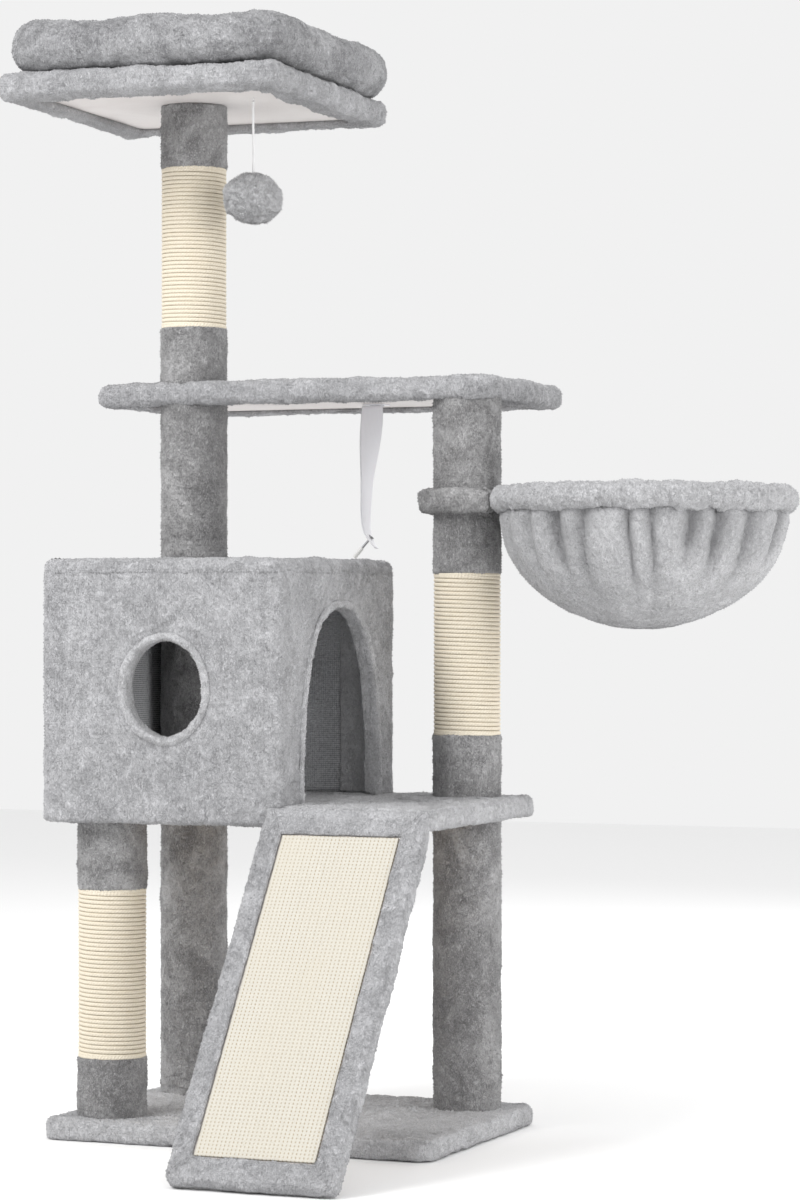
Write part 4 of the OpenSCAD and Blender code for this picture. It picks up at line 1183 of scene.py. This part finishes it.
def make_bolster():
    """The loose bed's stuffed wall: one closed tube round the bed, with lumps, gathers and dents."""
    width, depth = (size - BOLSTER_W for size in BED_SIZE)
    points, normals = round_outline(width, depth, BED_R, 6.0)
    girth = np.radians(np.arange(0.0, 360.0, 12.0))
    rings = []
    for (x, y), (nx, ny) in zip(points, normals):
        spot = np.array(((x * MM, y * MM, 0.0),))
        swell = 1.0 + 0.05 * noise(spot, 0.07)[0]
        rise = 0.965 + 0.022 * (x - y) / 340.0 + 0.03 * noise(spot, 0.09, 5.0)[0]
        across = 29.4 * swell * np.cos(girth)
        up = 31.8 * (1.0 + np.sin(girth)) * rise + 1.5
        rings.append(np.column_stack([x + nx * across, y + ny * across, BED_Z + up]))
    bolster = ring_piece("bed_bolster_plush", on_perch(rings, BED_SHIFT), "bed_plush", "bed", True)
    inflate(bolster, 5.0)
    points = points_of(bolster)
    gathers = np.abs(noise(points * (1.0, 1.0, 0.35), 0.021, 9.0))
    pinch = ease((0.22 - gathers) / 0.22)
    lumps = 4.6 * noise(points, 0.078, 2.0) + 1.3 * noise(points, 0.036, 6.0)
    move_points(bolster, points + normals_of(bolster) * (lumps - pinch)[:, None] * MM)
    keep_above(bolster, BED_Z)
    fluff(bolster, 1.0, 0.5, 1.5, 1.2, (0.4, -0.2, -0.7), 1.4)
    keep_above(bolster, BED_Z)
    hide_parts("bed_bolster")


def make_pad():
    """The crowned cushion that the bolster is sewn round, with a button-like dip in its middle."""
    points, normals = round_outline(*PAD_SIZE, 26.0, 5.0)
    plan = Plan((points, normals), (0.0, 0.0))
    rings = [plan.ring(8.0, BED_Z + 17.0, shrink=s) for s in spread(0.03, 1.0, 0.04)]
    rings += [plan.ring(2.0, BED_Z + 13.0), plan.ring(0.0, BED_Z + 9.0), plan.ring(2.0, BED_Z + 5.0)]
    rings += [plan.ring(8.0, BED_Z + 2.5, shrink=s) for s in (1.0, 0.7, 0.35, 0.05)]
    pad = ring_piece("bed_pad_plush", on_perch(rings, BED_SHIFT), "bed_plush", "bed")
    inflate(pad, 7.0, 3.0)
    points = points_of(pad)
    flat = (points / MM)[:, :2] - np.array(PERCH)
    dip = 5.0 * np.exp(-((flat[:, 0] - 10.0) ** 2 + flat[:, 1] ** 2) / 34.0 ** 2)
    top = ease((points[:, 2] / MM - BED_Z - 8.0) / 8.0)
    points[:, 2] -= dip * top * MM
    move_points(pad, points)
    keep_above(pad, BED_Z)
    fluff(pad, top, 1.4, 1.5, 1.2)
    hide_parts("bed_pad")


# ---------- hammock ----------

RING = np.array((408.0, 113.0, 762.0))
RING_R = 168.0
RIM_R = 17.0
BOWL_H = 154.0
# the bowl's outside: radius and depth below the ring, as shares of the ring's radius and the depth
BOWL = [
    (1.005, 0.085), (1.02, 0.13), (1.01, 0.24), (0.965, 0.41), (0.89, 0.55), (0.79, 0.67),
    (0.67, 0.77), (0.52, 0.865), (0.35, 0.94), (0.18, 0.985), (0.02, 1.0),
]


def make_rim():
    """The stuffed casing round the ring, puckered where the bowl is gathered into it."""
    turns = full_turn(360)
    girth = full_turn(32)
    rings = np.empty((len(turns), len(girth), 3))
    line = np.column_stack([np.cos(turns), np.sin(turns), np.zeros(len(turns))]) * RING_R * MM
    pucker = noise(line, 0.013, 2.0) + 0.6 * noise(line, 0.0075, 8.0)
    swell = noise(line, 0.045, 4.0)
    for j, g in enumerate(girth):
        low = 0.5 - 0.5 * math.sin(g)
        section = RIM_R - 2.0 + 1.2 * swell + (0.6 + 1.3 * low) * pucker
        out = RING_R + section * math.cos(g)
        rings[:, j, 0] = RING[0] + out * np.cos(turns)
        rings[:, j, 1] = RING[1] + out * np.sin(turns)
        rings[:, j, 2] = RING[2] + section * math.sin(g) + 0.7 * swell
    rim = ring_piece("hammock_rim_plush", rings, "rim_plush", loop=True)
    fluff(rim, 1.0, 1.3, 2.2, 1.3, (0.1, 0.0, -0.8), 1.8)
    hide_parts("hammock_rim")


def fold_depth(turn, share):
    """How far the bowl's gathers draw in, in millimetres, at each turn and share of its depth."""
    rng = np.random.default_rng(23)
    total = np.zeros(np.broadcast(turn, share).shape)
    place = 0.0
    while place < 2.0 * math.pi - 0.1:
        width = rng.uniform(0.032, 0.085)
        deep = rng.uniform(9.0, 17.0)
        end = rng.uniform(0.6, 0.98)
        lean = rng.uniform(-0.12, 0.12)
        calm = 0.35 + 0.65 * ease((math.cos(place + 0.35) + 0.75) / 0.9)
        at = place + lean * share
        off = (turn - at + math.pi) % (2.0 * math.pi) - math.pi
        fade = ease((share - 0.02) / 0.12) * ease((end - share) / (0.6 * end))
        off = np.abs(off) / (width * (1.0 + 0.5 * share))
        total += deep * calm * fade * (0.55 * np.exp(-off * off) + 0.45 * np.exp(-2.5 * off))
        place += rng.uniform(0.13, 0.38)
    return total


def paint_fold_shade(bowl):
    """Records painted shade at each point: darker deep among the gathers and towards the rim, where shade
    falls.
    """
    points = points_of(bowl) / MM - RING
    share = -points[:, 2] / BOWL_H
    depth = fold_depth(np.arctan2(points[:, 1], points[:, 0]), share) / 15.0
    # painted shade: how deep the point lies in the folds, plus more towards the rim
    shade_amount = np.clip(depth + 0.32 * ease((0.62 - share) / 0.6), 0.0, 0.85)
    layer = bowl.data.attributes.new("painted_shade", "FLOAT", "POINT")
    layer.data.foreach_set("value", shade_amount)


def make_bowl():
    """One round of plush gathered into the rim: folds start under it and die out lower down."""
    profile = refined([(r * RING_R, -z * BOWL_H, 0.0) for r, z in BOWL], 3.6)[:, :2]
    turns = full_turn(340)
    rings = []
    for radius, z in profile:
        share = -z / BOWL_H
        edge = min(1.0, radius / 70.0)
        drawn = fold_depth(turns, share) * edge
        wave = 1.6 * np.sin(3.0 * turns + 1.0) * edge * (1.0 - share)
        reach = radius - drawn + wave + 1.2 * edge
        rings.append(np.column_stack([RING[0] + reach * np.cos(turns), RING[1] + reach * np.sin(turns),
                                      np.full(len(turns), RING[2] + z) + 0.12 * drawn]))
    points = np.concatenate([np.asarray(rings).reshape(-1, 3), [(RING[0], RING[1], 608.0)]]) * MM
    faces = quads(len(rings), len(turns))
    faces += fan(len(points) - 1, (len(rings) - 1) * len(turns), len(turns), False)
    # the paler bowl plush is painted light, with painted shade in the folds and near the rim
    bowl = piece_of("hammock_bowl_plush", points, faces, "bowl_plush_painted_light_and_shade", "tree", True)
    if normals_of(bowl)[len(turns) * 40, 2] > 0.0:
        bowl.data.flip_normals()
    fluffy_sheet(bowl, 3.2, (0.9, 0.9, 0.9), (0.3, -0.2, -0.8), 1.1)
    # painted shade in the folds and towards the rim
    paint_fold_shade(bowl)
    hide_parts("hammock_bowl")


# ---------- ramp ----------

RAMP_PIVOT = np.array((148.5, -176.5, 398.0))
RAMP_SLOPE = math.radians(55.0)
RAMP_W = 203.0
RAMP_L = 478.0
MAT_W = 145.0
MAT_END = 34.0


def on_ramp(rings):
    """From the ramp's own frame, +Y down the slope and +Z out of its top face, to the row frame."""
    rings = np.array(rings, float)
    x, y, z = rings[..., 0], rings[..., 1], rings[..., 2]
    c, s = math.cos(RAMP_SLOPE), math.sin(RAMP_SLOPE)
    moved = np.stack([RAMP_PIVOT[0] + x, RAMP_PIVOT[1] - c * y - s * z,
                      RAMP_PIVOT[2] - s * y + c * z], axis=-1)
    moved[..., 1] = np.minimum(moved[..., 1], RAMP_PIVOT[1] - 1.4)
    moved[..., 2] = np.clip(moved[..., 2], 1.2, DECK_TOP - 1.6)
    return moved


def make_ramp():
    lift = 9.0
    middle = (0.0, (RAMP_L - lift) / 2)
    plan = Plan(round_outline(RAMP_W, RAMP_L + lift, (14.0, 14.0, 4.0, 4.0), 4.0, middle), middle)
    inside = plan.half - np.array((MAT_W / 2 + 0.6, RAMP_L / 2 - MAT_END + 0.6))

    def frame_ring(share, z):
        ring = plan.ring(7.0, z, margin=(inside - 7.0) * share)
        ring[:, 1] += lift / 2 * share
        return ring

    low, under, top = -19.6, -16.2, 4.0
    rings = [frame_ring(1.0, -0.4), frame_ring(1.0, 1.6), frame_ring(0.96, 3.4)]
    rings += [frame_ring(s, top) for s in spread(0.88, 0.0, 0.18)]
    rings += arc_rings(plan, 7.0, top, 1, True)[1:]
    rings += [plan.ring(0.0, z) for z in spread(top - 7.0, low + 5.0, 4.0)[1:-1]]
    rings += arc_rings(plan, 5.0, low, -1, False)
    rings += [plan.ring(5.0, low, margin=m) for m in spread(0.0, 24.0, 4.0)[1:]]
    outside = len(rings)
    rings += [plan.ring(5.0, under, margin=24.0), plan.ring(4.6, under), plan.ring(4.6, -0.4)]
    cover = ring_piece("ramp_plush", on_ramp(rings), "plush", "ramp", True)
    weight = np.repeat([0.3, 0.8] + [1.0] * (outside - 2) + [0.0] * 3, len(plan.points))
    far = ease((RAMP_PIVOT[1] - 3.0 - points_of(cover)[:, 1] / MM) / 9.0)
    fluff(cover, weight * (0.15 + 0.85 * far), 0.9, 1.4, 1.1, (0.0, -0.5, -0.8))
    points = points_of(cover)
    points[:, 2] = np.maximum(points[:, 2], 0.6 * MM)
    points[:, 1] = np.minimum(points[:, 1], (RAMP_PIVOT[1] - 0.9) * MM)
    move_points(cover, points)
    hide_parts("ramp_cover")


def make_mat():
    """Woven sisal: cords down the slope, with the weft showing between them as rows of dots."""
    across = np.linspace(-MAT_W / 2 + 0.3, MAT_W / 2 - 0.3, 92)
    down = np.linspace(MAT_END + 0.3, RAMP_L - MAT_END - 0.3, 300)
    x, y = np.meshgrid(across, down, indexing="ij")
    column = x / 4.83
    cord = np.abs(np.cos(math.pi * column)) ** 0.7
    rows = np.sin(2.0 * math.pi * (y / 4.6 + 0.5 * (np.floor(column + 0.5) % 2)))
    high = 1.45 + 0.55 * cord + 0.38 * rows * cord
    top = np.stack([x, y, high], axis=-1)
    rows_n, columns_n = x.shape
    index = np.arange(rows_n * columns_n).reshape(rows_n, columns_n)
    faces = np.stack([index[:-1, :-1], index[1:, :-1], index[1:, 1:], index[:-1, 1:]], -1)
    faces = faces.reshape(-1, 4).tolist()
    border = [*index[:, 0], *index[-1, 1:], *index[-2::-1, -1], *index[0, -2:0:-1]]
    low = top.reshape(-1, 3)[border] * (1.0, 1.0, 0.0) + (0.0, 0.0, -0.5)
    start = rows_n * columns_n
    for k, corner in enumerate(border):
        after = (k + 1) % len(border)
        faces.append((start + k, start + after, border[after], corner))
    faces.append(tuple(start + k for k in reversed(range(len(border)))))
    flat = np.concatenate([top.reshape(-1, 3), low])
    points = on_ramp(flat) * MM
    mat = piece_of("ramp_mat_weave", points, faces, "sisal_mat", "ramp", True)
    uv_flat(mat, flat * MM)
    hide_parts("ramp_mat")


# ---------- carried over parts ----------

FINISHES = {
    "board": ["base_board", "deck_board", "front_wall", "right_wall", "back_wall", "left_wall",
              "roof_board", "bracket_board"],
    "painted_board": ["shelf_board", "perch_board", "ramp_board"],
    "paper_tube": ["post_tubes"],
    "plug_wood": ["post_plugs"],
    "zinc": ["base_bolts", "top_bolts", "washers", "joining_studs", "house_screws", "hammock_ring",
             "ring_screws", "deck_leaves", "ramp_leaves", "hinge_pins", "strap_screw"],
    "dark_steel": ["wall_screw"],
    "nylon": ["wall_plug"],
    "cord": ["cord_anchor", "cord_swivel"],
}


def finish_nodes():
    for finish, nodes in FINISHES.items():
        for name in nodes:
            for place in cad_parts[name].material_slots:
                place.material = MATERIALS[finish]


MATERIALS = make_materials()
make_camera()
make_cords()
make_studio()
make_posts()
make_base()
make_deck()
make_shelf()
make_bracket()
make_house_cover()
make_lining()
make_rims()
make_trim()
make_perch()
make_bolster()
make_pad()
make_rim()
make_bowl()
make_ramp()
make_mat()
finish_nodes()

bpy.context.view_layer.update()
